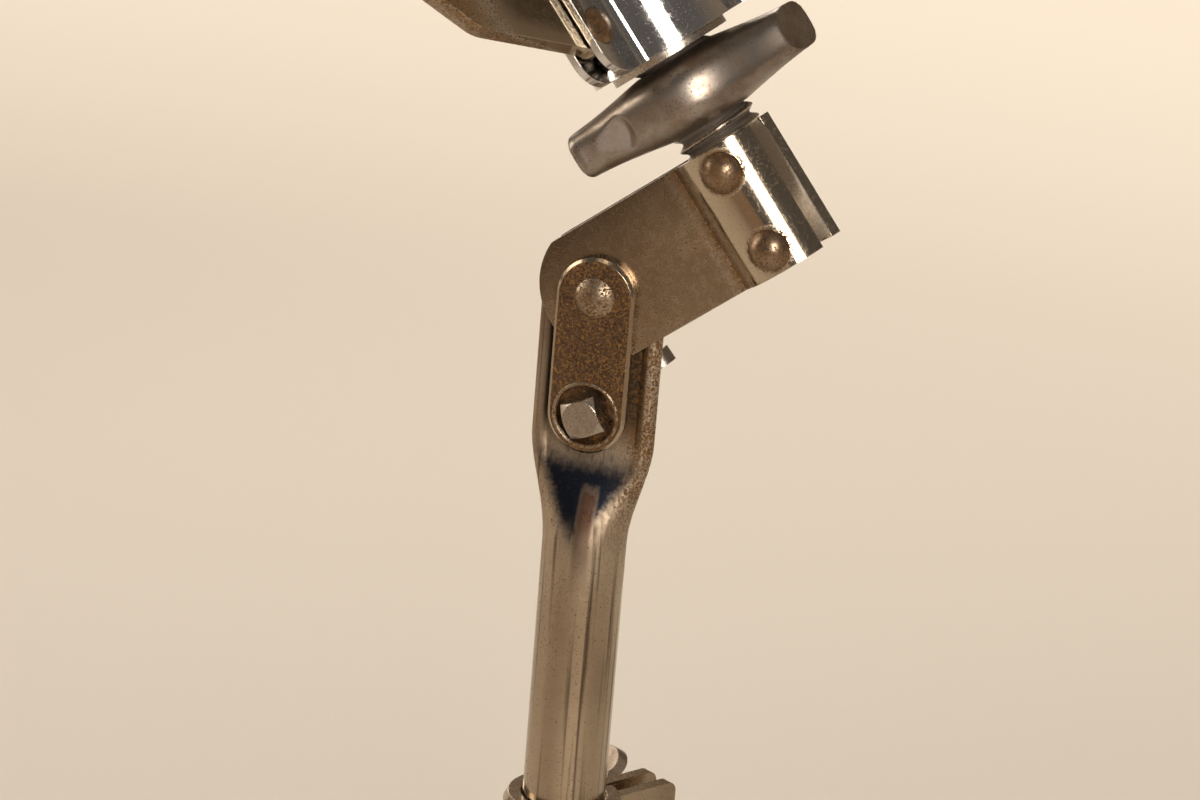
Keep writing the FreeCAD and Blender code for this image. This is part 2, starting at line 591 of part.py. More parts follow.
def hub_panel(index):
    """One curved panel of the hub, with a flange at each end beside an arm."""
    start = ARM_START_ANGLE + index * FULL_TURN / ARM_COUNT
    step = FULL_TURN / ARM_COUNT
    edge = math.degrees(math.asin((ARM_SLOT_HALF + HUB_SHEET / 2) / HUB_R))
    shell = Part.makeCylinder(HUB_R, HUB_HIGH, ORIGIN, Z_DIR, step - 2 * edge)
    shell = shell.cut(Part.makeCylinder(HUB_IN_R, HUB_HIGH + 2 * OVERRUN, V(0, 0, -OVERRUN)))
    near = hub_flange(1)
    far = around(hub_flange(-1), step)
    panel = around(shell, edge).fuse([near, far]).removeSplitter()
    bend_angle = math.degrees(math.asin((ARM_SLOT_HALF + HUB_SHEET) / HUB_R))
    middle = Part.Vertex(HUB_R, 0, HUB_HIGH / 2)
    bends = [around(middle, turn).Point for turn in (bend_angle, step - bend_angle)]
    corners = [corner for corner in panel.Edges
               if min((corner.CenterOfMass - bend).Length for bend in bends) < FACE_CLEAR]
    panel = panel.makeFillet(HUB_BEND, corners)
    return on_post(around(panel, start).translated(V(0, 0, HUB_FOOT)))


def arm_rivets():
    """The rivets that the arms turn on, headed on both flanges."""
    half = ARM_SLOT_HALF + HUB_SHEET + SEAT_CLEAR
    rivet = Part.makeCylinder(ARM_RIVET_D / 2, 2 * half, V(0, -half, 0), Y_DIR)
    for side in (1, -1):
        rivet = rivet.fuse(towards_y(dome(ARM_RIVET_HEAD_D / 2, ARM_RIVET_HEAD_HIGH), side * half, side))
    rivet = rivet.removeSplitter().translated(V(ARM_PIVOT_R, 0, PIVOT_UP))
    turns = [ARM_START_ANGLE + index * FULL_TURN / ARM_COUNT for index in range(ARM_COUNT)]
    return on_post(Part.makeCompound([around(rivet, turn) for turn in turns]))


def arm_frame():
    """Points of the arm's outline, from its pivot, in the plane of the arm."""
    slope = math.radians(ARM_SLOPE)
    along = V(math.cos(slope), 0, math.sin(slope))
    square = V(-math.sin(slope), 0, math.cos(slope))
    knee = V(KNEE_OUT, 0, KNEE_RISE)
    tip = knee + along * ARM_RUN
    return along, square, knee, tip


def arm_finger():
    """The finger's corner points and its direction, at the arm's outer end."""
    along, square, knee, tip = arm_frame()
    turn = math.radians(FINGER_ANGLE)
    rise = V(math.cos(turn), 0, math.sin(turn))
    out = V(math.sin(turn), 0, -math.cos(turn))
    top = tip + rise * FINGER_LENGTH
    return rise, out, tip, top


def basket_arm():
    """One flat arm: a tail for the cap's groove, an eye, a knee and a finger at the rim."""
    along, square, knee, tip = arm_frame()
    rise, out, outer_foot, outer_top = arm_finger()
    inner_top = outer_top - out * FINGER_WIDTH
    upper_knee = knee + square * ARM_DEPTH
    upper_tip = tip - along * FINGER_WIDTH + square * ARM_TIP_DEPTH
    inner_foot = outer_foot - out * FINGER_WIDTH + rise * (FINGER_LENGTH - PAD_COVER)
    eye_high = V(0, 0, ARM_EYE_R)
    eye_low = V(0, 0, -ARM_EYE_R)
    finger_round = outer_top - out * (FINGER_WIDTH / 2) + rise * (FINGER_WIDTH / 2)
    outline = filled([
        line(eye_high, eye_low),
        line(eye_low, knee),
        line(knee, outer_foot),
        line(outer_foot, outer_top),
        arc(outer_top, finger_round, inner_top),
        line(inner_top, inner_foot),
        line(inner_foot, upper_tip),
        line(upper_tip, upper_knee),
        line(upper_knee, eye_high),
    ]).extrude(V(0, ARM_THICK, 0)).translated(V(0, -ARM_THICK / 2, 0))
    bends = [edge for edge in outline.Edges
             if min((edge.CenterOfMass - knee).Length, (edge.CenterOfMass - upper_knee).Length) < FACE_CLEAR]
    outline = outline.makeFillet(KNEE_ROUND, bends)
    eye = Part.makeCylinder(ARM_EYE_R, ARM_THICK, V(0, -ARM_THICK / 2, 0), Y_DIR)
    tail = block(V(-ARM_TAIL, -ARM_THICK / 2, -TAIL_NOSE_R), V(0, ARM_THICK / 2, TAIL_NOSE_R))
    nose = Part.makeCylinder(TAIL_NOSE_R, ARM_THICK, V(-ARM_TAIL, -ARM_THICK / 2, 0), Y_DIR)
    arm = outline.fuse([eye, tail, nose]).removeSplitter()
    bore = Part.makeCylinder(ARM_RIVET_D / 2 + RUN_CLEAR, 2 * ARM_THICK, V(0, -ARM_THICK, 0), Y_DIR)
    return arm.cut(bore)


def arm_pad():
    """The rubber sleeve over an arm's finger."""
    rise, out, outer_foot, outer_top = arm_finger()
    half = ARM_THICK / 2 + SEAT_CLEAR
    wide = FINGER_WIDTH / 2 + SEAT_CLEAR
    centre = outer_top - out * (FINGER_WIDTH / 2)
    foot = -PAD_COVER
    top = FINGER_WIDTH / 2 + SEAT_CLEAR
    grow = V(PAD_WALL, PAD_WALL, 0)
    sleeve = block(V(-wide, -half, foot) - grow, V(wide, half, top + PAD_WALL) + grow)
    edges = [edge for edge in sleeve.Edges if edge.CenterOfMass.z > foot]
    sleeve = sleeve.makeFillet(PAD_WALL * PAD_ROUND_SHARE, edges)
    pocket = block(V(-wide, -half, foot - OVERRUN), V(wide, half, 0))
    pocket = pocket.fuse(Part.makeCylinder(wide, 2 * half, V(0, -half, 0), Y_DIR))
    pad = sleeve.cut(pocket)
    lean = FINGER_ANGLE - HALF_TURN / 2
    return pad.rotated(ORIGIN, Y_DIR, -lean).translated(centre)


def on_hub(shape, index):
    """From an arm's frame, with its pivot at the origin, to its place on the hub."""
    turn = ARM_START_ANGLE + index * FULL_TURN / ARM_COUNT
    return on_post(around(shape.translated(V(ARM_PIVOT_R, 0, PIVOT_UP)), turn))


def at_clamp(shape):
    """From the clamp's frame, with its ears along +X and its middle at zero, to its place."""
    return around(shape, CLAMP_ANGLE).translated(V(0, 0, CLAMP_MID_Z))


def height_clamp():
    """The split band round the base tube's top, with a lip on the tube's end and two ears."""
    half = CLAMP_HIGH / 2
    lip_z = half - CLAMP_LIP
    lip_in = TUBE_R + OPEN_CLEAR
    band = turned([(BAND_IN_R, -half), (BAND_OUT_R, -half), (BAND_OUT_R, lip_z),
                   (BAND_OUT_R - CLAMP_LIP / 2, half), (lip_in, half), (lip_in, lip_z), (BAND_IN_R, lip_z)])
    ear_end = BAND_OUT_R + CLAMP_EAR_LENGTH
    root = BAND_IN_R + CLAMP_BAND / 2
    ears = block(V(root, -CLAMP_EAR_Y, -half), V(ear_end, CLAMP_EAR_Y, lip_z))
    upright = [edge for edge in ears.Edges if abs(edge.CenterOfMass.x - ear_end) < OVERRUN
               and edge.BoundBox.YLength > CLAMP_EAR_Y]
    ears = ears.makeFillet(CLAMP_EAR_THICK, upright)
    gap = block(V(0, -CLAMP_GAP / 2, -half - OVERRUN), V(ear_end + OVERRUN, CLAMP_GAP / 2, half + OVERRUN))
    bolt = Part.makeCylinder(BOLT_D / 2 + SEAT_CLEAR, 2 * ear_end, V(CLAMP_BOLT_R, -ear_end, 0), Y_DIR)
    return at_clamp(band.fuse(ears).removeSplitter().cut(gap).cut(bolt))


def clamp_bolt():
    """A hexagon bolt through both ears."""
    corner = HEX_WIDTH / 2 / math.cos(math.pi / HEX_SIDES)
    turns = [math.radians(FULL_TURN / HEX_SIDES * step) for step in range(HEX_SIDES)]
    head = polygon([V(corner * math.cos(turn), corner * math.sin(turn), 0) for turn in turns])
    head = towards_y(head.extrude(V(0, 0, HEX_HIGH)), -CLAMP_EAR_Y, -1)
    length = 2 * CLAMP_EAR_Y + WASHER_THICK + NUT_BOSS_HIGH + BOLT_PAST_NUT
    shank = Part.makeCylinder(BOLT_D / 2, length, V(0, -CLAMP_EAR_Y, 0), Y_DIR)
    return at_clamp(head.fuse(shank).translated(V(CLAMP_BOLT_R, 0, 0)))


def clamp_washer():
    ring = towards_y(washer(RECESS_D / 2, BOLT_D / 2 + SEAT_CLEAR, WASHER_THICK), CLAMP_EAR_Y, 1)
    return at_clamp(ring.translated(V(CLAMP_BOLT_R, 0, 0)))


def clamp_wing_nut():
    nut = around(small_wing_nut(), CLAMP_NUT_TURN)
    nut = towards_y(nut, CLAMP_EAR_Y + WASHER_THICK + FACE_CLEAR, 1)
    return at_clamp(nut.translated(V(CLAMP_BOLT_R, 0, 0)))


def base_tube():
    """The lower tube, slotted at its top so that the clamp can close it."""
    foot = HUB_FOOT_Z + BARREL_FLOOR
    tube = turned([(BASE_BORE_R, foot), (BASE_TUBE_R, foot), (BASE_TUBE_R, BASE_TUBE_TOP),
                   (BASE_BORE_R, BASE_TUBE_TOP)])
    half = CLAMP_SLOT_WIDTH / 2
    slot = block(V(-BASE_TUBE_D, -half, BASE_TUBE_TOP - CLAMP_SLOT_DEPTH),
                 V(BASE_TUBE_D, half, BASE_TUBE_TOP + OVERRUN))
    return tube.cut(around(slot, CLAMP_ANGLE))


def base_hub():
    """The cast barrel at the tube's foot, with a lug and a stop for each leg."""
    top = HUB_FOOT_Z + BARREL_HIGH
    shoulder = HUB_FOOT_Z + BARREL_HIGH * BARREL_NECK_SHARE
    hub = turned([(0, HUB_FOOT_Z), (BARREL_R - BARREL_FLOOR / 2, HUB_FOOT_Z),
                  (BARREL_R, HUB_FOOT_Z + BARREL_FLOOR / 2), (BARREL_R, shoulder),
                  (BARREL_NECK_D / 2, top), (0, top)])
    half = LEG_WIDTH / 2 - LEG_SHEET - OPEN_CLEAR
    heel_half = half - LEG_EDGE_ROUND
    heel_top = LEG_TOP - LEG_SHEET - FACE_CLEAR
    lugs = []
    for index in range(LEG_COUNT):
        neck = block(V(0, -half, LEG_HINGE_Z - LEG_LUG_R), V(LEG_HINGE_R, half, LEG_HINGE_Z + LEG_LUG_R))
        heel = block(V(0, -heel_half, -LEG_LUG_R), V(LEG_HEEL, heel_half, heel_top))
        heel = heel.rotated(ORIGIN, Y_DIR, LEG_SLOPE).translated(V(LEG_HINGE_R, 0, LEG_HINGE_Z))
        eye = Part.makeCylinder(LEG_LUG_R, 2 * half, V(LEG_HINGE_R, -half, LEG_HINGE_Z), Y_DIR)
        lugs.append(around(neck.fuse([heel, eye]), leg_angle(index)))
    hub = hub.fuse(lugs).removeSplitter()
    floor = V(0, 0, HUB_FOOT_Z + BARREL_FLOOR)
    hub = hub.cut(Part.makeCylinder(BASE_TUBE_R + SEAT_CLEAR, BARREL_HIGH, floor))
    pin_at = V(LEG_HINGE_R, -LEG_WIDTH / 2, LEG_HINGE_Z)
    pin = Part.makeCylinder(LEG_PIN_D / 2 + SEAT_CLEAR, LEG_WIDTH, pin_at, Y_DIR)
    for index in range(LEG_COUNT):
        hub = hub.cut(around(pin, leg_angle(index)))
    return hub


def leg_angle(index):
    return LEG_START_ANGLE + index * FULL_TURN / LEG_COUNT


def leg_pins():
    """The hinge pins, headed outside the legs' walls."""
    half = LEG_WIDTH / 2 + FACE_CLEAR
    pin = Part.makeCylinder(LEG_PIN_D / 2, 2 * half, V(0, -half, 0), Y_DIR)
    for side in (1, -1):
        pin = pin.fuse(towards_y(dome(LEG_EAR_R - LEG_PIN_HEAD / 2, LEG_PIN_HEAD), side * half, side))
    pin = pin.removeSplitter().translated(V(LEG_HINGE_R, 0, LEG_HINGE_Z))
    return Part.makeCompound([around(pin, leg_angle(index)) for index in range(LEG_COUNT)])


def leg_section(at, width, depth, top):
    """A rectangle across the leg, with its upper corners rounded."""
    half = width / 2
    bend = LEG_EDGE_ROUND
    sink = bend * (1 - math.sqrt(0.5))
    foot = top - depth
    points = [V(at, -half, foot), V(at, -half, top - bend), V(at, -half + bend, top), V(at, half - bend, top),
              V(at, half, top - bend), V(at, half, foot)]
    return Part.Wire([
        line(points[0], points[1]),
        arc(points[1], V(at, -half + sink, top - sink), points[2]),
        line(points[2], points[3]),
        arc(points[3], V(at, half - sink, top - sink), points[4]),
        line(points[4], points[5]),
        line(points[5], points[0]),
    ])


def leg_blank(grow):
    """The leg's full outer form, from its pin outwards, grown on every side."""
    root = leg_section(0, LEG_WIDTH + 2 * grow, LEG_DEPTH + 2 * grow, LEG_TOP + grow)
    end = leg_section(LEG_END + grow, LEG_TIP_WIDTH + 2 * grow, LEG_TIP_DEPTH + 2 * grow, LEG_TOP + grow)
    return Part.makeLoft([root, end], True, True)


def leg():
    """A tapered channel, open below, with two ears round its hinge pin."""
    outer = leg_blank(0)
    inner_root = leg_section(-OVERRUN, LEG_WIDTH - 2 * LEG_SHEET, LEG_DEPTH, LEG_TOP - LEG_SHEET)
    end_width = LEG_TIP_WIDTH - 2 * LEG_SHEET
    inner_end = leg_section(LEG_END - LEG_SHEET, end_width, LEG_DEPTH, LEG_TOP - LEG_SHEET)
    channel = outer.cut(Part.makeLoft([inner_root, inner_end], True, True))
    open_root = block(V(-OVERRUN, -LEG_WIDTH, -LEG_DEPTH), V(WEB_START, LEG_WIDTH, LEG_DEPTH))
    channel = channel.cut(open_root)
    for side in (1, -1):
        wall_y = side * (LEG_WIDTH / 2 - LEG_SHEET / 2)
        low = V(0, wall_y - LEG_SHEET / 2, -LEG_EAR_R)
        high = V(WEB_START + LEG_SHEET, wall_y + LEG_SHEET / 2, LEG_TOP - LEG_EDGE_ROUND)
        ear = Part.makeCylinder(LEG_EAR_R, LEG_SHEET, V(0, wall_y - LEG_SHEET / 2, 0), Y_DIR)
        cheek = block(low, high).cut(Part.makeCylinder(LEG_PIN_D / 2, LEG_WIDTH, V(0, -LEG_WIDTH, 0), Y_DIR))
        channel = channel.fuse([ear, cheek])
    bore = Part.makeCylinder(LEG_PIN_D / 2 + RUN_CLEAR, 2 * LEG_WIDTH, V(0, -LEG_WIDTH, 0), Y_DIR)
    return channel.removeSplitter().cut(bore)


def at_leg(shape, index):
    """From a leg's frame, with its pin at the origin, to its place, sloping to the floor."""
    placed = shape.rotated(ORIGIN, Y_DIR, LEG_SLOPE).translated(V(LEG_HINGE_R, 0, LEG_HINGE_Z))
    return around(placed, leg_angle(index))


def foot():
    """The rubber boot on a leg's end, flat underneath."""
    half = LEG_TIP_WIDTH / 2 + FOOT_WALL
    start = FOOT_REACH - FOOT_LENGTH / 2
    end = FOOT_REACH + FOOT_LENGTH / 2
    high = FOOT_SOLE + LEG_TIP_DEPTH + FOOT_WALL + FOOT_WALL
    boot = block(V(start, -half, 0), V(end, half, high))
    boot = boot.makeFillet(FOOT_CORNER, [edge for edge in boot.Edges if edge.CenterOfMass.z > 0])
    pocket = leg_blank(SEAT_CLEAR).rotated(ORIGIN, Y_DIR, LEG_SLOPE)
    return boot.cut(pocket.translated(V(LEG_HINGE_R, 0, LEG_HINGE_Z)))


def save(name, shape):
    shape.exportStep("parts/" + name + ".step")


def main():
    os.makedirs("parts", exist_ok=True)
    save("height_tube", height_tube())
    near_plate = link_plate()
    save("near_link_plate", near_plate)
    save("far_link_plate", mirrored_y(near_plate))
    save("pivot_rivet", pivot_rivet())
    save("tilt_bolt", tilt_bolt())
    save("tilt_washer", tilt_washer())
    save("tilt_wing_nut", tilt_wing_nut())
    cheek = bracket_cheek()
    save("near_bracket_cheek", tilted(cheek))
    save("far_bracket_cheek", tilted(mirrored_y(cheek)))
    save("bracket_rivets", tilted(bracket_rivets()))
    save("threaded_post", threaded_post())
    save("post_cap", post_cap())
    save("basket_wing_nut", basket_wing_nut())
    save("thrust_washer", thrust_washer())
    save("hub_floor", hub_floor())
    save("arm_rivets", arm_rivets())
    arm = basket_arm()
    pad = arm_pad()
    for index in range(ARM_COUNT):
        number = str(index + 1)
        save("hub_panel_" + number, hub_panel(index))
        save("basket_arm_" + number, on_hub(arm, index))
        save("arm_pad_" + number, on_hub(pad, index))
    save("height_clamp", height_clamp())
    save("clamp_bolt", clamp_bolt())
    save("clamp_washer", clamp_washer())
    save("clamp_wing_nut", clamp_wing_nut())
    save("base_tube", base_tube())
    save("base_hub", base_hub())
    save("leg_pins", leg_pins())
    one_leg = leg()
    one_foot = foot()
    for index in range(LEG_COUNT):
        number = str(index + 1)
        save("leg_" + number, at_leg(one_leg, index))
        save("foot_" + number, around(one_foot, leg_angle(index)))


if __name__ == "__main__":
    main()
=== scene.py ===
"""Snare drum stand: finishes, cut threads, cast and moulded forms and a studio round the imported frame."""

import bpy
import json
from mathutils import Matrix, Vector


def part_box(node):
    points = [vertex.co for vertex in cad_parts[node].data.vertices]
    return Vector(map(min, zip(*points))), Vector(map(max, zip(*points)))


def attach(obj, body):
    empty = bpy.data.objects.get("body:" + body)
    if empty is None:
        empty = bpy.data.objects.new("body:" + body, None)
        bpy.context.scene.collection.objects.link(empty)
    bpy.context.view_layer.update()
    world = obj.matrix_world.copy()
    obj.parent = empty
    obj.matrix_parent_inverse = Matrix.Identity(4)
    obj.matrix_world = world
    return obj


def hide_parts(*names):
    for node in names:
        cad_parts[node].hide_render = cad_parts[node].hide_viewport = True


bl_info = {
    "name": "Snare Drum Stand",
    "version": (1, 0, 0),
    "blender": (4, 5, 0),
    "location": "View3D > Sidebar > Drum Stand",
    "description": "Dresses the snare drum stand's frame and sets its studio",
    "category": "Object",
}

import json
import math

import bmesh
import bpy
from mathutils import Matrix, Vector

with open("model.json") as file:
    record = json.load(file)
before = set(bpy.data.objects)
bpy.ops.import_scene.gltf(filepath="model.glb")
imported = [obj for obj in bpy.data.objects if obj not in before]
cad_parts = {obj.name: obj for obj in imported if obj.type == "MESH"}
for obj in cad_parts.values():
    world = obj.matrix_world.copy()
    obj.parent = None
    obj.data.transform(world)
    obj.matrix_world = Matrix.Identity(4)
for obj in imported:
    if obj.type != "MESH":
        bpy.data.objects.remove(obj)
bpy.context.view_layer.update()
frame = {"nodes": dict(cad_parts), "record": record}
NODES = frame["nodes"]
JOINTS = {joint["name"]: joint for joint in frame["record"]["behaviour"]["joints"]}
MM = 0.001

# The tilt pivot, and the leaning directions along the post and out along the bracket
PIVOT = Vector(JOINTS["tilt"]["pos_m"])
POST_AXIS = Vector(JOINTS["basket_nut_turn"]["axis"]).normalized()
POST_AT = Vector(JOINTS["basket_nut_turn"]["pos_m"])
TILT = math.atan2(-POST_AXIS.x, POST_AXIS.z)
OUT_AXIS = Vector((math.cos(TILT), 0.0, math.sin(TILT)))

# The bracket's cross rivets, from the pivot, and the round recess at each end of the tilt bolt
RIVET_HEAD = 3.8 * MM
RIVET_OUT = (POST_AT - PIVOT).dot(OUT_AXIS)
RIVET_TOP = max((vertex.co - PIVOT).dot(POST_AXIS) for vertex in NODES["bracket_rivets"].data.vertices)
RIVET_RISE = RIVET_TOP - RIVET_HEAD
RECESS_R = 5.65 * MM

# The height tube's neck: where each finish starts and ends, down from the tilt pivot
FLAT_FILM = (44 * MM, 60 * MM)
FLAT_DULL = (60 * MM, 50 * MM)
FLAT_RUST = (36 * MM, 58 * MM)
# Where the painted shade, with some stain, lies on the flat
FLAT_SHADE_AND_STAIN = (30 * MM, 24 * MM)
# The vee is a painted blue-black dark reflection, and the fold band a painted reddish-brown reflection
VEE_TOP = (29.5 * MM, 35.5 * MM)
VEE_SIDES = (30 * MM, 48 * MM)
VEE_TIP = (42 * MM, 51 * MM)
FOLD_TOP = (36.5 * MM, 38.5 * MM)
FOLD_TAIL = (58 * MM, 44 * MM)

# The same neck, out from the middle of the tube
VEE_HALF_WIDTHS = (12.8 * MM, 2.2 * MM)
VEE_FRAY = 0.8 * MM
VEE_EDGE = 3.2 * MM
FOLD_OFF = 1.6 * MM
FOLD_HALF_WIDTHS = (2.1 * MM, 1.0 * MM)
# Half width of the painted shade, with some stain, on the flat between the link plates
SHADE_AND_STAIN_EDGE = (10.2 * MM, 9.2 * MM)
RUST_SIDE = (4 * MM, 8 * MM)

# The pressed cheeks, out along the bracket from the pivot, and the painted shade, up along the post
DRAWN_START = (25 * MM, 28 * MM)
CREASE_OUT = 25.6 * MM
CREASE_SPREAD = (0.5 * MM, 3.2 * MM)
RIVET_RING = 1.1 * MM
TOP_SHADE_RISE = (0.0, 13 * MM)
TOP_SHADE_END = (20 * MM, 17 * MM)

# The post's thread: steps round it, rows in one turn, and its crest and flank as shares of half a pitch
THREAD_AROUND = 56
THREAD_ROWS = 10
THREAD_CREST = 0.12
THREAD_FLANK = 0.72

# The basket nut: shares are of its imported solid's reach, width or height
NUT_REACH_SHARE = 1.03
NUT_TIP_WIDE_SHARE = 0.34
NUT_TIP_TALL_SHARE = 0.56
NUT_BELL_SHARE = 0.6
NUT_FACET_SHARE = 0.68
NUT_FACET_DEPTH = 0.4 * MM
NUT_FACET_WALL = 0.7 * MM
NUT_TIP_ROUND = 2.0 * MM
NUT_END_ROUND = 0.5 * MM
NUT_BORE_ROOM = 0.06 * MM
NUT_SHARP_ANGLE = math.radians(50.0)

# The power that squares the nut's oval section, and how finely the nut is divided
NUT_SQUARING = 0.72
NUT_STATIONS = 130
NUT_TIP_STEPS = 6
NUT_AROUND = 96

# The rubber: its remesh and softening, the share of its length with ribs, and the plain foot below them
RUBBER_VOXEL = 0.55 * MM
RUBBER_SOFTENING = 6
RIBBED_SHARE = 0.62
RUBBER_FOOT = 2 * MM

# The studio, in metres, watts and degrees
FLOOR_REACH = 12.0
STAND_MIDDLE = Vector((0.0, 0.0, 0.45))
STAND_LAMP_SPREAD = 130.0
STAND_LAMPS = (  # name, place, width, height, power, tint
    ("key_panel", (0.62, -1.2, 0.95), 0.4, 0.7, 9.0, "#FFF6EC"),
    ("side_panel", (-1.3, -0.2, 0.9), 0.5, 1.2, 4.0, "#FFF1DF"),
    ("rim_panel", (-0.9, 1.3, 1.2), 0.5, 1.0, 4.0, "#FFF6EC"),
)
FLOOR_LAMP_Z = 2.6
FLOOR_LAMPS = (  # name, X, Y, width, depth, power, spread, tint
    ("back_floor_panel", 0.0, 6.3, 18.0, 10.0, 620.0, 80.0, "#FFF4E6"),
    ("front_floor_panel", 0.0, -6.0, 18.0, 10.0, 150.0, 70.0, "#FFD0AA"),
    ("left_floor_panel", -6.0, 0.15, 8.4, 2.3, 40.0, 75.0, "#FFE4CC"),
    ("right_floor_panel", 6.0, 0.15, 8.4, 2.3, 40.0, 75.0, "#FFE4CC"),
)
ROOM_FRONT = "#625D59"
ROOM_WALL = "#837361"

# Inputs of a Mix node: its share, two numbers and two colours
SHARE = 0
LOW, HIGH = 2, 3
UNDER, OVER = 6, 7


def linear(code):
    """An sRGB hex colour as linear RGBA."""
    shares = [int(code[place:place + 2], 16) / 255 for place in (1, 3, 5)]
    return (*[s / 12.92 if s <= 0.04045 else ((s + 0.055) / 1.055) ** 2.4 for s in shares], 1.0)


def colour(name, description, code):
    return bpy.props.FloatVectorProperty(
        name=name, description=description, subtype="COLOR", size=4, min=0.0, max=1.0, default=linear(code))


def length(name, description, millimetres):
    return bpy.props.FloatProperty(
        name=name, description=description, subtype="DISTANCE", unit="LENGTH", default=millimetres * MM)


def angle(name, description, degrees):
    return bpy.props.FloatProperty(
        name=name, description=description, subtype="ANGLE", unit="ROTATION", default=math.radians(degrees))


class StandColours(bpy.types.PropertyGroup):
    nickel: colour("Nickel", "Warm plate on tubes, plates, cheeks, arms and legs", "#B9AA94")
    chrome: colour("Chrome", "Bright plate on the basket's hub", "#D6D4D1")
    casting: colour("Casting", "Dull skin of the wing nuts and the tripod's hub", "#A0978D")
    rivet: colour("Rivet", "Browned steel of the rivets and the legs' pins", "#8C7863")
    steel: colour("Steel", "Machined bolts, washers, cap and thread", "#B3A99C")
    film: colour("Film", "Brown film that has crept over the plating", "#786350")
    rust: colour("Rust", "Orange-brown freckles", "#7C5417")
    stain: colour("Stain", "Dark brown film in hollows", "#2A1B11")
    # Painted dark reflection: the blue-black in the swaged neck's vee
    painted_dark_reflection: colour("Painted dark reflection", "Blue-black reflection painted in the swaged neck's vee", "#1C212B")
    # Painted reflection: the reddish-brown band along the neck's fold
    painted_reddish_reflection: colour("Copper", "Red-brown reflection painted along the neck's fold", "#44281C")
    rubber: colour("Rubber", "Boots and pads", "#1B1A19")
    floor: colour("Floor", "Pale studio floor, and the dust on the rubber", "#EAE3D8")


class StandSizes(bpy.types.PropertyGroup):
    thread_pitch: length("Thread pitch", "Rise of the post's thread in one turn", 2.31)
    thread_depth: length("Thread depth", "From the thread's crest to its root", 1.25)
    edge_round: length("Edge round", "Worn radius on sheared edges, seen as a bright line", 0.3)
    nut_turn: angle("Nut turn", "The basket nut's wings from the bracket's line", 21.0)
    nut_slant: angle("Nut slant", "Slant of the flat on each wing's end", 30.0)
    nut_facet: length("Nut facet", "Width of the round flat on each wing", 9.4)
    nut_facet_turn: angle("Nut facet turn", "That flat's turn towards the wing's end", 10.0)
    recess_lip: length("Recess lip", "Height of the raised lip round each bolt's recess", 0.42)
    rib_pitch: length("Rib pitch", "From rib to rib on the rubber", 3.4)
    rib_depth: length("Rib depth", "Depth of the grooves between ribs", 0.7)
    freckle: length("Freckle", "Width of one rust freckle", 0.24)
    speck: length("Speck", "Width of one fine pit, coarser than life so that it shows", 0.2)
    camera_azimuth: angle("Camera azimuth", "Camera's turn round the stand", 16.45)
    camera_elevation: angle("Camera elevation", "Camera's height above the horizon", 17.9)
    camera_roll: angle("Camera roll", "Lean of the stand in the picture", 4.7)
    camera_field: length("Camera field", "Width of the picture at the tilter", 221.0)
    camera_away: length("Camera distance", "From the camera to the tilter", 700.0)
    camera_drop: length("Camera drop", "From the tilt pivot down to the picture's centre", 20.26)
    camera_shift: length("Camera shift", "From the tilt pivot left to the picture's centre", 0.9)


def add(tree, kind, inputs=None, **settings):
    """Add one shader node; an input that is a node or a socket is linked, any other is set."""
    made = tree.nodes.new("ShaderNode" + kind)
    for key, value in settings.items():
        setattr(made, key, value)
    for key, value in (inputs or {}).items():
        if isinstance(value, bpy.types.Node):
            value = next(socket for socket in value.outputs if socket.enabled)
        if isinstance(value, bpy.types.NodeSocket):
            tree.links.new(value, made.inputs[key])
        else:
            made.inputs[key].default_value = value
    return made


def source(low, high):
    """The range of values that is mapped."""
    return {"From Min": low, "From Max": high}


def result(low, high):
    """What a range of values is mapped to."""
    return {"To Min": low, "To Max": high}


# Nearly all of a noise's values lie in this range
NOISY = source(0.3, 0.7)
SMOOTH = {"interpolation_type": "SMOOTHSTEP"}


def new_material(name):
    """An empty material, its nodes, and the place on the object that its patterns follow."""
    material = bpy.data.materials.new(name)
    material.use_nodes = True
    tree = material.node_tree
    tree.nodes.clear()
    return material, tree, add(tree, "TexCoord").outputs["Object"]


def per_metre(size):
    """A texture's scale for features of the given size."""
    return 1.0 / size


def spots(tree, place, size, patch, cover):
    """A mask of small spots that gather in patches; cover runs from none at 0 to nearly all at 1."""
    grain = add(tree, "TexNoise", {"Vector": place, "Scale": per_metre(2 * size), "Detail": 5.0,
                                   "Roughness": 0.65})
    crowd = add(tree, "TexNoise", {"Vector": place, "Scale": per_metre(2 * patch), "Detail": 2.0})
    bare = add(tree, "MapRange", {"Value": crowd, **NOISY,
                                  **result(0.66 - 0.3 * cover, 0.62 - 0.36 * cover)})
    above = add(tree, "Math", {0: grain, 1: bare}, operation="SUBTRACT")
    return add(tree, "MapRange", {"Value": above, **source(0.0, 0.06)}, **SMOOTH)


def finish_metal(tree, base, rust, stain, mask, gloss, normal, rough_rust=0.75):
    """Join a plate and its rust by a mask, as one surface; the rust is mottled and hardly metallic."""
    place = add(tree, "TexCoord").outputs["Object"]
    shade = add(tree, "TexNoise", {"Vector": place, "Scale": per_metre(2.4 * MM), "Detail": 3.0})
    brown = add(tree, "Mix", {SHARE: shade, UNDER: stain, OVER: rust}, data_type="RGBA")
    skin = add(tree, "Mix", {SHARE: mask, UNDER: base, OVER: brown}, data_type="RGBA")
    metallic = add(tree, "MapRange", {"Value": mask, **result(1.0, 0.15)})
    rough = add(tree, "Mix", {SHARE: mask, LOW: gloss, HIGH: rough_rust})
    surface = add(tree, "BsdfPrincipled", {"Base Color": skin, "Metallic": metallic, "Roughness": rough,
                                           "Normal": normal})
    add(tree, "OutputMaterial", {"Surface": surface})


def worn_edges(tree, sizes, relief, depth):
    """Rounded edges, with a relief on top."""
    edge = add(tree, "Bevel", {"Radius": sizes.edge_round}, samples=4)
    return add(tree, "Bump", {"Height": relief, "Distance": depth, "Strength": 1.0, "Normal": edge})


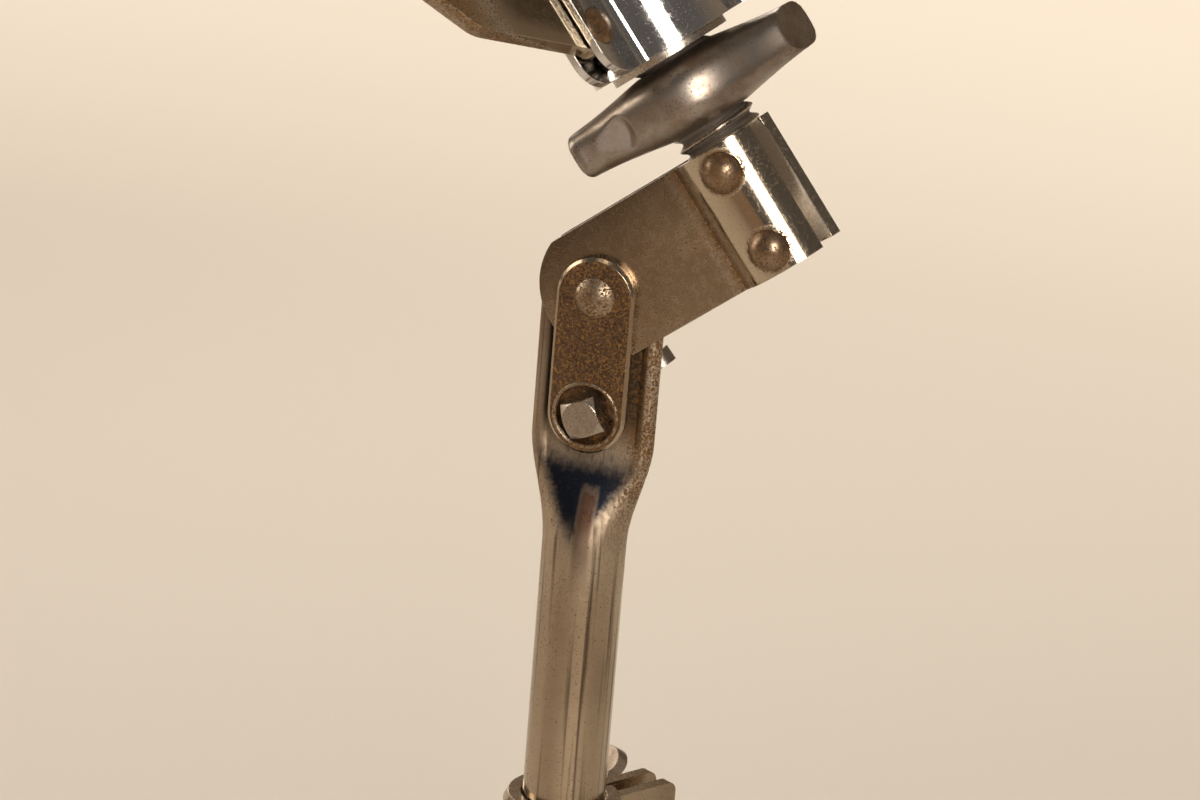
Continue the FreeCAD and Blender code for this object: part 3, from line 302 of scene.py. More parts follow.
def drawn_skin(tree, look, place, filmed):
    """A drawn tube's streaks, its gloss and its plate; filmed is the share of film on it."""
    # Real draw lines are finer; at 1.1 mm they show
    stretched = add(tree, "Mapping", {"Vector": place, "Scale": (1.0, 1.0, 0.02)})
    streak = add(tree, "TexNoise", {"Vector": stretched, "Scale": per_metre(1.1 * MM), "Detail": 4.0})
    gloss = add(tree, "MapRange", {"Value": streak, **NOISY, **result(0.16, 0.28)})
    cloud = add(tree, "TexNoise", {"Vector": place, "Scale": per_metre(30 * MM), "Detail": 3.0})
    tone = add(tree, "MapRange", {"Value": cloud, **source(0.35, 0.75), **result(0.0, filmed)})
    plate = add(tree, "Mix", {SHARE: tone, UNDER: look.nickel, OVER: look.film}, data_type="RGBA")
    return streak, gloss, plate


def drawn_nickel_tube(look, sizes):
    """Nickel-plated drawn steel tube: satin, streaked along its length, with pits in the plate."""
    material, tree, place = new_material("Nickel-plated drawn steel")
    streak, gloss, plate = drawn_skin(tree, look, place, 0.6)
    mask = spots(tree, place, sizes.speck, 14 * MM, 0.16)
    normal = worn_edges(tree, sizes, streak, 0.004 * MM)
    finish_metal(tree, plate, look.rust, look.stain, mask, gloss, normal)
    return material


def painted_reflection_vee(tree, down, lower, across, fray):
    """A mask of the neck's vee, where a dark reflection is painted, wide at its top and ragged at its
    edges.
    """
    wide = add(tree, "MapRange", {"Value": down, **source(*VEE_SIDES), **result(*VEE_HALF_WIDTHS)})
    inside = add(tree, "Math", {0: wide, 1: across}, operation="SUBTRACT")
    frayed = add(tree, "Math", {0: inside, 1: fray}, operation="ADD")
    sides = add(tree, "MapRange", {"Value": frayed, **source(0.0, VEE_EDGE)}, **SMOOTH)
    top = add(tree, "MapRange", {"Value": lower, **source(*VEE_TOP)}, **SMOOTH)
    tip = add(tree, "MapRange", {"Value": down, **source(*VEE_TIP), **result(1.0, 0.0)}, **SMOOTH)
    ends = add(tree, "Math", {0: top, 1: tip}, operation="MULTIPLY")
    return add(tree, "Math", {0: sides, 1: ends}, operation="MULTIPLY")


def neck_fold(tree, sideways, down, lower):
    """A mask of the band along the neck's fold, where a reddish-brown reflection is painted; it runs out
    down the tube.
    """
    off = add(tree, "Math", {0: sideways, 1: -FOLD_OFF}, operation="ADD")
    far = add(tree, "Math", {0: off}, operation="ABSOLUTE")
    band = add(tree, "MapRange", {"Value": far, **source(*FOLD_HALF_WIDTHS)}, **SMOOTH)
    begun = add(tree, "MapRange", {"Value": lower, **source(*FOLD_TOP)})
    ended = add(tree, "MapRange", {"Value": down, **source(*FOLD_TAIL)})
    reach = add(tree, "Math", {0: begun, 1: ended}, operation="MULTIPLY")
    return add(tree, "Math", {0: band, 1: reach}, operation="MULTIPLY")


def swaged_nickel_tube(look, sizes):
    """The same tube swaged flat at its top: filmed and rusty on the flat, with dark draw streaks.

    The neck's ragged vee is a painted blue-black dark reflection, and a painted reddish-brown reflection
    runs down its fold.
    """
    material, tree, place = new_material("Swaged nickel-plated steel")
    parts = add(tree, "SeparateXYZ", {"Vector": place}).outputs
    down = add(tree, "Math", {0: PIVOT.z, 1: parts["Z"]}, operation="SUBTRACT")
    across = add(tree, "Math", {0: parts["X"]}, operation="ABSOLUTE")
    flat = add(tree, "MapRange", {"Value": down, **source(*FLAT_FILM), **result(0.95, 0.7)})
    streak, gloss, filmed = drawn_skin(tree, look, place, flat)
    drag = add(tree, "MapRange", {"Value": streak, **source(0.54, 0.7), **result(0.0, 0.75)})
    plate = add(tree, "Mix", {SHARE: drag, UNDER: filmed, OVER: look.stain}, data_type="RGBA")

    ragged = add(tree, "TexNoise", {"Vector": place, "Scale": per_metre(1.2 * MM), "Detail": 5.0,
                                    "Roughness": 0.7})
    fray = add(tree, "MapRange", {"Value": ragged, **NOISY, **result(-VEE_FRAY, VEE_FRAY)})
    lower = add(tree, "Math", {0: down, 1: fray}, operation="ADD")
    vee = painted_reflection_vee(tree, down, lower, across, fray)
    fold = neck_fold(tree, parts["X"], down, lower)
    off_fold_band = add(tree, "MapRange", {"Value": fold, **result(1.0, 0.1)})
    # The painted dark reflection in the vee, held back along the fold band
    dark_reflection_share = add(tree, "Math", {0: vee, 1: off_fold_band}, operation="MULTIPLY")

    # Painted shade, with some real stain, darkens the flat between the link plates
    between_plates = add(tree, "MapRange", {"Value": across, **source(*SHADE_AND_STAIN_EDGE)})
    beside = add(tree, "MapRange", {"Value": down, **source(*FLAT_SHADE_AND_STAIN), **result(0.0, 0.85)})
    shade_and_stain = add(tree, "Math", {0: between_plates, 1: beside}, operation="MULTIPLY")
    shaded_and_stained = add(tree, "Mix", {SHARE: shade_and_stain, UNDER: plate, OVER: look.stain}, data_type="RGBA")
    # The painted reddish-brown reflection along the fold
    reddish_reflection_share = add(tree, "MapRange", {"Value": fold, **result(0.0, 0.85)})
    with_reddish_reflection = add(tree, "Mix", {SHARE: reddish_reflection_share, UNDER: shaded_and_stained, OVER: look.painted_reddish_reflection}, data_type="RGBA")
    skin = add(tree, "Mix", {SHARE: dark_reflection_share, UNDER: with_reddish_reflection, OVER: look.painted_dark_reflection}, data_type="RGBA")

    # Rust has spread from the flat's right edge, and hardly marks the painted dark reflection in the vee
    pits = spots(tree, place, sizes.speck, 14 * MM, 0.16)
    rusty = spots(tree, place, sizes.freckle, 5 * MM, 0.5)
    above = add(tree, "MapRange", {"Value": down, **source(*FLAT_RUST), **result(1.0, 0.0)})
    right = add(tree, "MapRange", {"Value": parts["X"], **source(*RUST_SIDE), **result(0.06, 1.0)})
    worn = add(tree, "Math", {0: above, 1: right}, operation="MULTIPLY")
    stained = add(tree, "Math", {0: rusty, 1: worn}, operation="MULTIPLY")
    rust = add(tree, "Math", {0: pits, 1: stained}, operation="MAXIMUM")
    off_dark_reflection = add(tree, "MapRange", {"Value": dark_reflection_share, **result(1.0, 0.15)})
    mask = add(tree, "Math", {0: rust, 1: off_dark_reflection}, operation="MULTIPLY")

    swaged = add(tree, "MapRange", {"Value": down, **source(*FLAT_DULL), **result(0.0, 0.28)})
    dulled = add(tree, "Math", {0: gloss, 1: swaged}, operation="ADD")
    normal = worn_edges(tree, sizes, streak, 0.004 * MM)
    finish_metal(tree, skin, look.rust, look.stain, mask, dulled, normal)
    return material


def pitted_nickel_plate(look, sizes):
    """Nickel on sheared steel bar: dull tan, orange-brown freckles, dark pits and bright bevels."""
    material, tree, place = new_material("Pitted nickel on steel bar")
    outward = add(tree, "SeparateXYZ", {"Vector": add(tree, "TexCoord").outputs["Normal"]}).outputs["Y"]
    square = add(tree, "Math", {0: outward}, operation="ABSOLUTE")
    face = add(tree, "MapRange", {"Value": square, **source(0.86, 0.97), **result(0.1, 1.0)})
    freckles = spots(tree, place, sizes.freckle, 7 * MM, 0.42)
    mask = add(tree, "Math", {0: freckles, 1: face}, operation="MULTIPLY")
    plate = add(tree, "Mix", {SHARE: face, UNDER: look.nickel, OVER: look.film}, data_type="RGBA")
    gloss = add(tree, "MapRange", {"Value": face, **result(0.14, 0.36)})
    pits = spots(tree, place, sizes.speck, 4 * MM, 0.44)
    faint = add(tree, "MapRange", {"Value": face, **result(0.0, 0.5)})
    pitted = add(tree, "Math", {0: pits, 1: faint}, operation="MULTIPLY")
    skin = add(tree, "Mix", {SHARE: pitted, UNDER: plate, OVER: look.stain}, data_type="RGBA")
    ochre = add(tree, "Mix", {SHARE: pitted, UNDER: look.rust, OVER: look.stain}, data_type="RGBA")
    finish_metal(tree, skin, ochre, ochre, mask, gloss, worn_edges(tree, sizes, mask, 0.02 * MM), 0.8)
    return material


def worn_nickel_rivet(look, sizes):
    """Nickel on an upset rivet: rubbed to a soft sheen between patches of freckles."""
    material, tree, place = new_material("Worn nickel rivet")
    cloud = add(tree, "TexNoise", {"Vector": place, "Scale": per_metre(3 * MM), "Detail": 4.0})
    skin = add(tree, "Mix", {SHARE: cloud, UNDER: look.film, OVER: look.nickel}, data_type="RGBA")
    gloss = add(tree, "MapRange", {"Value": cloud, **NOISY, **result(0.3, 0.44)})
    mask = spots(tree, place, sizes.freckle, 5 * MM, 0.42)
    normal = worn_edges(tree, sizes, mask, 0.02 * MM)
    finish_metal(tree, skin, look.rust, look.stain, mask, gloss, normal, 0.8)
    return material


def pressed_nickel_sheet(look, sizes):
    """Nickel-plated pressed sheet: hazy on the flat, bright where it was drawn out past the crease.

    It is rusty at the crease and round the rivets, and a painted shade darkens it towards the nut.
    """
    material, tree, place = new_material("Nickel-plated pressed sheet")
    flat = add(tree, "Mapping", {"Vector": place, "Location": PIVOT, "Rotation": (0.0, -TILT, 0.0)},
               vector_type="TEXTURE")
    parts = add(tree, "SeparateXYZ", {"Vector": flat}).outputs
    along, rise = parts["X"], parts["Z"]
    drawn = add(tree, "MapRange", {"Value": along, **source(*DRAWN_START)}, **SMOOTH)
    grain = add(tree, "TexNoise", {"Vector": place, "Scale": per_metre(1.6 * MM), "Detail": 5.0})
    haze = add(tree, "MapRange", {"Value": grain, **NOISY, **result(0.2, 0.32)})
    gloss = add(tree, "Mix", {SHARE: drawn, LOW: haze, HIGH: 0.1})

    off_crease = add(tree, "Math", {0: along, 1: CREASE_OUT}, operation="SUBTRACT")
    far = add(tree, "Math", {0: off_crease}, operation="ABSOLUTE")
    crease = add(tree, "MapRange", {"Value": far, **source(*CREASE_SPREAD), **result(1.0, 0.0)}, **SMOOTH)
    up = add(tree, "Math", {0: rise}, operation="ABSOLUTE")
    out = add(tree, "Math", {0: along, 1: RIVET_OUT}, operation="SUBTRACT")
    above = add(tree, "Math", {0: up, 1: RIVET_RISE}, operation="SUBTRACT")
    spoke = add(tree, "CombineXYZ", {"X": out, "Y": above})
    from_rivet = add(tree, "VectorMath", {0: spoke}, operation="LENGTH")
    ring = add(tree, "MapRange", {"Value": from_rivet, **source(RIVET_HEAD, RIVET_HEAD + RIVET_RING),
                                  **result(1.0, 0.0)}, **SMOOTH)
    fine = spots(tree, place, sizes.speck, 8 * MM, 0.26)
    coarse = spots(tree, place, sizes.freckle, 6 * MM, 0.55)
    worst = add(tree, "Math", {0: crease, 1: ring}, operation="MAXIMUM")
    rusty = add(tree, "Math", {0: coarse, 1: worst}, operation="MULTIPLY")
    kept = add(tree, "MapRange", {"Value": drawn, **result(1.0, 0.2)})
    pitted = add(tree, "Math", {0: fine, 1: kept}, operation="MULTIPLY")
    mask = add(tree, "Math", {0: pitted, 1: rusty}, operation="MAXIMUM")

    cloud = add(tree, "TexNoise", {"Vector": place, "Scale": per_metre(18 * MM), "Detail": 4.0})
    tone = add(tree, "MapRange", {"Value": cloud, **NOISY, **result(0.15, 0.6)})
    undrawn = add(tree, "Math", {0: 1.0, 1: drawn}, operation="SUBTRACT")
    filmed = add(tree, "Math", {0: tone, 1: undrawn}, operation="MULTIPLY")
    plate = add(tree, "Mix", {SHARE: filmed, UNDER: look.nickel, OVER: look.film}, data_type="RGBA")
    # Painted shade: darker towards the top of the cheeks under the nut, stopping short of the arms
    risen = add(tree, "MapRange", {"Value": rise, **source(*TOP_SHADE_RISE), **result(0.0, 0.6)})
    below_arms = add(tree, "MapRange", {"Value": rise, **source(*TOP_SHADE_END)})
    under_nut = add(tree, "Math", {0: risen, 1: below_arms}, operation="MULTIPLY")
    top_shaded = add(tree, "Math", {0: under_nut, 1: undrawn}, operation="MULTIPLY")
    skin = add(tree, "Mix", {SHARE: top_shaded, UNDER: plate, OVER: look.stain}, data_type="RGBA")
    normal = worn_edges(tree, sizes, grain, 0.006 * MM)
    finish_metal(tree, skin, look.rust, look.stain, mask, gloss, normal)
    return material


def bright_chrome(look, sizes):
    """Chrome on pressed steel: a near mirror with hazy wiping marks and a few brown pin holes."""
    material, tree, place = new_material("Chrome-plated pressed steel")
    wipe = add(tree, "TexNoise", {"Vector": place, "Scale": per_metre(3 * MM), "Detail": 6.0,
                                  "Distortion": 1.5})
    gloss = add(tree, "MapRange", {"Value": wipe, **source(0.4, 0.75), **result(0.05, 0.14)})
    mask = spots(tree, place, sizes.speck, 12 * MM, 0.1)
    normal = worn_edges(tree, sizes, wipe, 0.004 * MM)
    finish_metal(tree, look.chrome, look.rust, look.stain, mask, gloss, normal)
    return material


def dull_casting(look, sizes):
    """Cast metal with its skin left on: soft grey sheen, mottled by a brown patina, with fine sand pits."""
    material, tree, place = new_material("Tumbled metal casting")
    mottle = add(tree, "TexNoise", {"Vector": place, "Scale": per_metre(5 * MM), "Detail": 6.0,
                                    "Roughness": 0.65})
    # Grains of moulding sand are finer; at 0.45 mm they show
    sand = add(tree, "TexNoise", {"Vector": place, "Scale": per_metre(0.45 * MM), "Detail": 3.0})
    gloss = add(tree, "MapRange", {"Value": mottle, **NOISY, **result(0.3, 0.46)})
    mask = spots(tree, place, sizes.speck, 6 * MM, 0.14)
    normal = worn_edges(tree, sizes, sand, 0.02 * MM)
    patina = add(tree, "MapRange", {"Value": mottle, **source(0.42, 0.66), **result(0.0, 0.7)})
    skin = add(tree, "Mix", {SHARE: patina, UNDER: look.casting, OVER: look.film}, data_type="RGBA")
    finish_metal(tree, skin, look.stain, look.stain, mask, gloss, normal, 0.6)
    return material


def browned_rivet(look, sizes):
    """Upset steel rivets, plated with the sheet and browned: glossy domes under a thin rust film."""
    material, tree, place = new_material("Browned steel rivet")
    film = add(tree, "TexNoise", {"Vector": place, "Scale": per_metre(2.6 * MM), "Detail": 5.0})
    gloss = add(tree, "MapRange", {"Value": film, **NOISY, **result(0.24, 0.42)})
    mask = spots(tree, place, sizes.freckle, 4 * MM, 0.4)
    normal = worn_edges(tree, sizes, film, 0.04 * MM)
    finish_metal(tree, look.rivet, look.rust, look.stain, mask, gloss, normal, 0.55)
    return material


def tool_marks(tree, sizes, place, gloss_low, gloss_high):
    """The gloss and the surface that a cutting tool leaves."""
    # Real tool marks are finer; at 0.8 mm they show
    marks = add(tree, "TexNoise", {"Vector": place, "Scale": per_metre(0.8 * MM), "Detail": 4.0})
    gloss = add(tree, "MapRange", {"Value": marks, **NOISY, **result(gloss_low, gloss_high)})
    return gloss, worn_edges(tree, sizes, marks, 0.012 * MM)


def machined_steel(look, sizes):
    """Turned and milled steel under thin nickel: fine tool marks and a few freckles."""
    material, tree, place = new_material("Machined nickel-plated steel")
    gloss, normal = tool_marks(tree, sizes, place, 0.22, 0.36)
    mask = spots(tree, place, sizes.speck, 5 * MM, 0.16)
    finish_metal(tree, look.steel, look.rust, look.stain, mask, gloss, normal)
    return material


def cut_thread_steel(look, sizes):
    """Cut steel thread: rubbed crests over roots that hold old dark grease."""
    material, tree, place = new_material("Cut steel thread")
    arm = add(tree, "VectorMath", {0: place, 1: POST_AT}, operation="SUBTRACT")
    turned = add(tree, "VectorMath", {0: arm, 1: POST_AXIS}, operation="CROSS_PRODUCT")
    radius = add(tree, "VectorMath", {0: turned}, operation="LENGTH")
    crest = node_radius("threaded_post", POST_AXIS, POST_AT)
    flank = source(crest - sizes.thread_depth, crest - 0.2 * sizes.thread_depth)
    root = add(tree, "MapRange", {"Value": radius, **flank, **result(0.9, 0.0)})
    gloss, normal = tool_marks(tree, sizes, place, 0.2, 0.34)
    finish_metal(tree, look.steel, look.stain, look.stain, root, gloss, normal, 0.5)
    return material


def moulded_rubber(look, sizes):
    """Moulded natural rubber: soft black with a dusty bloom and a fine mould grain."""
    material, tree, place = new_material("Moulded black rubber")
    bloom = add(tree, "TexNoise", {"Vector": place, "Scale": per_metre(12 * MM), "Detail": 5.0})
    # The mould's own grain is finer; at 0.9 mm it shows
    grain = add(tree, "TexNoise", {"Vector": place, "Scale": per_metre(0.9 * MM), "Detail": 2.0})
    dust = add(tree, "MapRange", {"Value": bloom, **source(0.45, 0.8), **result(0.0, 0.12)})
    skin = add(tree, "Mix", {SHARE: dust, UNDER: look.rubber, OVER: look.floor}, data_type="RGBA")
    rough = add(tree, "MapRange", {"Value": bloom, **result(0.5, 0.75)})
    normal = worn_edges(tree, sizes, grain, 0.05 * MM)
    surface = add(tree, "BsdfPrincipled", {"Base Color": skin, "Roughness": rough,
                                           "Specular IOR Level": 0.4, "Normal": normal})
    add(tree, "OutputMaterial", {"Surface": surface})
    return material


def studio_floor(look):
    """Matt painted board: even, with the faintest roller texture."""
    material, tree, place = new_material("Matt painted board")
    roller = add(tree, "TexNoise", {"Vector": place, "Scale": per_metre(4 * MM), "Detail": 2.0})
    bump = add(tree, "Bump", {"Height": roller, "Distance": 0.1 * MM, "Strength": 0.4})
    surface = add(tree, "BsdfPrincipled", {"Base Color": look.floor, "Roughness": 0.7, "Normal": bump})
    add(tree, "OutputMaterial", {"Surface": surface})
    return material


FINISHES = {}


def finish(context, maker):
    """The material that a maker function gives, made once."""
    if maker.__name__ not in FINISHES:
        FINISHES[maker.__name__] = maker(context.scene.stand_colours, context.scene.stand_sizes)
    return FINISHES[maker.__name__]


def dress(context, maker, *names):
    """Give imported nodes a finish."""
    for name in names:
        mesh = NODES[name].data
        mesh.materials.clear()
        mesh.materials.append(finish(context, maker))


def numbered(stem):
    return [stem + str(number) for number in (1, 2, 3)]


def node_span(name, axis, origin):
    """A node's lowest and highest reach along an axis from a point."""
    reaches = [(vertex.co - origin).dot(axis) for vertex in NODES[name].data.vertices]
    return min(reaches), max(reaches)


def node_radius(name, axis, origin):
    """A node's greatest distance from an axis."""
    widest = 0.0
    for vertex in NODES[name].data.vertices:
        arm = vertex.co - origin
        widest = max(widest, (arm - axis * arm.dot(axis)).length)
    return widest


def placing(right, up, out, origin):
    """The matrix that turns X, Y and Z to three directions and starts from a point."""
    matrix = Matrix((right, up, out)).transposed().to_4x4()
    matrix.translation = origin
    return matrix


def scratch_piece(name, mesh):
    """An unfinished piece, linked so that its modifiers can be applied."""
    piece = bpy.data.objects.new(name, mesh)
    bpy.context.scene.collection.objects.link(piece)
    return piece


def applied(piece):
    """A piece's mesh with its modifiers applied; the piece itself goes."""
    depsgraph = bpy.context.evaluated_depsgraph_get()
    mesh = bpy.data.meshes.new_from_object(piece.evaluated_get(depsgraph))
    bpy.data.objects.remove(piece)
    return mesh


def add_piece(name, mesh, material, body):
    """Link a mesh as a piece that rides on a body; one with no sharp edges is shaded smooth."""
    piece = bpy.data.objects.new(name, mesh)
    bpy.context.scene.collection.objects.link(piece)
    mesh.materials.append(material)
    if not any(edge.use_edge_sharp for edge in mesh.edges):
        mesh.shade_smooth()
    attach(piece, body)
    return piece


def skinned(name, rings, closed):
    """A mesh over rings of points; closed joins the last ring to the first, or else the ends are filled."""
    shape = bmesh.new()
    loops = [[shape.verts.new(point) for point in ring] for ring in rings]
    pairs = list(zip(loops, loops[1:])) + ([(loops[-1], loops[0])] if closed else [])
    for lower, upper in pairs:
        for step in range(len(lower)):
            after = (step + 1) % len(lower)
            shape.faces.new((lower[step], lower[after], upper[after], upper[step]))
    if not closed:
        shape.faces.new(list(reversed(loops[0])))
        shape.faces.new(loops[-1])
    bmesh.ops.recalc_face_normals(shape, faces=shape.faces)
    mesh = bpy.data.meshes.new(name)
    shape.to_mesh(mesh)
    shape.free()
    return mesh


def thread_radius(phase, crest, depth):
    """The thread's radius at a share of its pitch: a vee with a flat crest and root."""
    off_crest = abs(2 * (phase % 1.0) - 1.0)
    return crest - depth * min(1.0, max(0.0, (off_crest - THREAD_CREST) / THREAD_FLANK))


def thread_mesh(name, low, start, high, crest, pitch, depth):
    """The post, plain up to where its right-hand thread starts, and closed at both ends."""
    rows = int((high - start) / pitch * THREAD_ROWS) + 1
    heights = [low, start - pitch] + [start + (high - start) * row / rows for row in range(rows + 1)]
    turn = POST_AXIS.to_track_quat("Z", "Y")
    rings = []
    for height in heights:
        ring = []
        for step in range(THREAD_AROUND):
            share = step / THREAD_AROUND
            radius = thread_radius(height / pitch - share, crest, depth) if height >= start else crest
            swing = math.tau * share
            at = Vector((math.cos(swing) * radius, math.sin(swing) * radius, height))
            ring.append(POST_AT + turn @ at)
        rings.append(ring)
    return skinned(name, rings, False)


def lip_mesh(name, centre, radius, section):
    """A raised half-round lip about a Y axis: a ring whose lower half is sunk in the plate."""
    around_count = 72
    section_count = 12
    rings = []
    for step in range(around_count):
        turn = math.tau * step / around_count
        spoke = Vector((math.cos(turn), 0.0, math.sin(turn)))
        ring = []
        for side in range(section_count):
            tip = math.tau * side / section_count
            ring.append(centre + spoke * (radius + section * math.cos(tip))
                        + Vector((0.0, section * math.sin(tip), 0.0)))
        rings.append(ring)
    return skinned(name, rings, True)


def blended_least(first, second, width):
    """The lesser of two lengths, with the corner between them rounded over a width."""
    near = max(width - abs(first - second), 0.0) / width
    return min(first, second) - near * near * width / 4


def eased(value, width):
    """A smooth step from 0 at zero to 1 at a width."""
    share = min(1.0, max(0.0, value / width))
    return share * share * (3 - 2 * share)


def nut_stations(reach):
    """Places along the nut from tip to tip, each with how far a rounded tip draws its section in."""
    body = reach - NUT_TIP_ROUND
    stations = [(body * (2 * step / NUT_STATIONS - 1), 0.0) for step in range(NUT_STATIONS + 1)]
    turns = [math.pi / 2 * step / NUT_TIP_STEPS for step in range(1, NUT_TIP_STEPS + 1)]
    tips = [(math.sin(turn), 1 - math.cos(turn)) for turn in turns]
    left = [(-body - NUT_TIP_ROUND * forward, NUT_TIP_ROUND * inward) for forward, inward in reversed(tips)]
    right = [(body + NUT_TIP_ROUND * forward, NUT_TIP_ROUND * inward) for forward, inward in tips]
    return left + stations + right


def bored(blank, radius, half_length):
    """A blank's mesh with a round hole through it along Z; the blank goes."""
    turns = [math.tau * step / NUT_AROUND for step in range(NUT_AROUND)]
    rings = [[Vector((radius * math.cos(turn), radius * math.sin(turn), end)) for turn in turns]
             for end in (-half_length, half_length)]
    drill = scratch_piece("nut_drill", skinned("nut_drill", rings, False))
    bore = blank.modifiers.new("bore", "BOOLEAN")
    bore.object = drill
    bore.solver = "EXACT"
    mesh = applied(blank)
    bpy.data.objects.remove(drill)
    return mesh


def nut_mesh(sizes, crest):
    """The cast nut: a spindle with a thumb flat and a slanted end on each wing, bored for the post."""
    low, high = node_span("basket_wing_nut", POST_AXIS, POST_AT)
    wing = OUT_AXIS * math.cos(sizes.nut_turn) + Vector((0.0, math.sin(sizes.nut_turn), 0.0))
    side = POST_AXIS.cross(wing)
    reach = node_span("basket_wing_nut", wing, POST_AT)[1] * NUT_REACH_SHARE
    wide = node_span("basket_wing_nut", side, POST_AT)[1]
    tall = (high - low) / 2

    def bell(share, tip_share):
        """The nut's size at a share of its reach: 1 in the middle, falling towards the tip's share."""
        return tip_share + (1 - tip_share) * math.exp(-(share / NUT_BELL_SHARE) ** 2)

    def width_at(share):
        return wide * bell(share, NUT_TIP_WIDE_SHARE)

    def height_at(share):
        return tall * bell(share, NUT_TIP_TALL_SHARE)

    def squared(value):
        return math.copysign(abs(value) ** NUT_SQUARING, value)

    out = Vector((-math.sin(sizes.nut_facet_turn), -math.cos(sizes.nut_facet_turn), 0.0))
    facet_at = Vector((-NUT_FACET_SHARE * reach, NUT_FACET_DEPTH - width_at(NUT_FACET_SHARE), 0.0))

    def worked(point):
        """A point after both wings' ends and thumb flats are cut; the wings are half a turn apart."""
        for half in (1, -1):
            at = Vector((half * point.x, half * point.y, point.z))
            end = reach - (width_at(1.0) - at.y) * math.tan(sizes.nut_slant)
            at.x = blended_least(at.x, end, NUT_END_ROUND)
            arm = at - facet_at
            proud = arm.dot(out)
            if proud > 0:
                from_middle = (arm - out * proud).length
                at -= out * proud * eased(sizes.nut_facet / 2 - from_middle, NUT_FACET_WALL)
            point = Vector((half * at.x, half * at.y, at.z))
        return point

    rings = []
    for along, inset in nut_stations(reach):
        share = abs(along) / reach
        half_wide, half_tall = width_at(share) - inset, height_at(share) - inset
        ring = []
        for step in range(NUT_AROUND):
            turn = math.tau * step / NUT_AROUND
            ring.append(worked(Vector((along, half_wide * squared(math.cos(turn)),
                                       half_tall * squared(math.sin(turn))))))
        rings.append(ring)
    blank = scratch_piece("nut_blank", skinned("nut_blank", rings, False))
    mesh = bored(blank, crest + NUT_BORE_ROOM, high - low)
    mesh.transform(placing(wing, side, POST_AXIS, POST_AT + POST_AXIS * (low + high) / 2))
    mesh.shade_smooth()
    mesh.set_sharp_from_angle(angle=NUT_SHARP_ANGLE)
    return mesh


def long_axis(points, centre):
    """The direction that points are most spread along; each step turns a first guess nearer to it."""
    axis = Vector((1.0, 0.6, 0.3))
    arms = [point - centre for point in points]
    for step in range(24):
        axis = sum((arm * arm.dot(axis) for arm in arms), Vector()).normalized()
    return axis


def rubber_mesh(node, sizes):
    """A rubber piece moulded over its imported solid: soft corners, with grooves round its middle."""
    blank = scratch_piece(node + "_blank", NODES[node].data.copy())
    rounding = blank.modifiers.new("rounding", "REMESH")
    rounding.mode = "VOXEL"
    rounding.voxel_size = RUBBER_VOXEL
    soften = blank.modifiers.new("soften", "SMOOTH")
    soften.factor = 0.5
    soften.iterations = RUBBER_SOFTENING
    mesh = applied(blank)
    mesh.materials.clear()
    points = [vertex.co.copy() for vertex in mesh.vertices]
    normals = [vertex.normal.copy() for vertex in mesh.vertices]
    centre = sum(points, Vector()) / len(points)
    axis = long_axis(points, centre)
    half = max(abs((point - centre).dot(axis)) for point in points)
    for vertex, point, normal in zip(mesh.vertices, points, normals):
        along = (point - centre).dot(axis)
        ribbed = eased(half * RIBBED_SHARE - abs(along), sizes.rib_pitch / 2)
        wave = 0.5 - 0.5 * math.cos(math.tau * along / sizes.rib_pitch)
        groove = ribbed * eased(point.z - RUBBER_FOOT, MM) * (wave * (1 - abs(normal.dot(axis))))
        vertex.co = point - normal * sizes.rib_depth * groove
    return mesh


class STAND_OT_tubes(bpy.types.Operator):
    """Finish the height tube and the base tube"""
    bl_idname = "stand.tubes"
    bl_label = "Tubes"

    def execute(self, context):
        dress(context, swaged_nickel_tube, "height_tube")
        dress(context, drawn_nickel_tube, "base_tube")
        return {"FINISHED"}


class STAND_OT_tilter(bpy.types.Operator):
    """Finish the link plates, the pivot rivet and the tilt bolt, and raise the lips round the bolt"""
    bl_idname = "stand.tilter"
    bl_label = "Tilter"

    def execute(self, context):
        sizes = context.scene.stand_sizes
        dress(context, pitted_nickel_plate, "near_link_plate", "far_link_plate")
        dress(context, worn_nickel_rivet, "pivot_rivet")
        bolt = Vector(JOINTS["tilt_nut_turn"]["pos_m"])
        for side, end in (("near", 0), ("far", 1)):
            centre = Vector((bolt.x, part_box(side + "_link_plate")[end][1], bolt.z))
            mesh = lip_mesh(side + "_recess_lip", centre, RECESS_R + sizes.recess_lip, sizes.recess_lip)
            lip = add_piece(side + "_recess_lip", mesh, finish(context, worn_nickel_rivet), "mast")
        dress(context, machined_steel, "tilt_bolt", "tilt_washer")
        dress(context, dull_casting, "tilt_wing_nut")
        return {"FINISHED"}


class STAND_OT_bracket(bpy.types.Operator):
    """Finish the bracket's cheeks and their cross rivets"""
    bl_idname = "stand.bracket"
    bl_label = "Bracket"

    def execute(self, context):
        dress(context, pressed_nickel_sheet, "near_bracket_cheek", "far_bracket_cheek")
        dress(context, browned_rivet, "bracket_rivets")
        return {"FINISHED"}


class STAND_OT_post(bpy.types.Operator):
    """Cut the post's thread"""
    bl_idname = "stand.post"
    bl_label = "Threaded post"

    def execute(self, context):
        sizes = context.scene.stand_sizes
        low, high = node_span("threaded_post", POST_AXIS, POST_AT)
        start = node_span("near_bracket_cheek", POST_AXIS, POST_AT)[1]
        crest = node_radius("threaded_post", POST_AXIS, POST_AT)
        mesh = thread_mesh("post_thread", low, start, high, crest, sizes.thread_pitch, sizes.thread_depth)
        post = add_piece("post_thread", mesh, finish(context, cut_thread_steel), "bracket")
        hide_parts("threaded_post")
        dress(context, cut_thread_steel, "threaded_post")
        return {"FINISHED"}


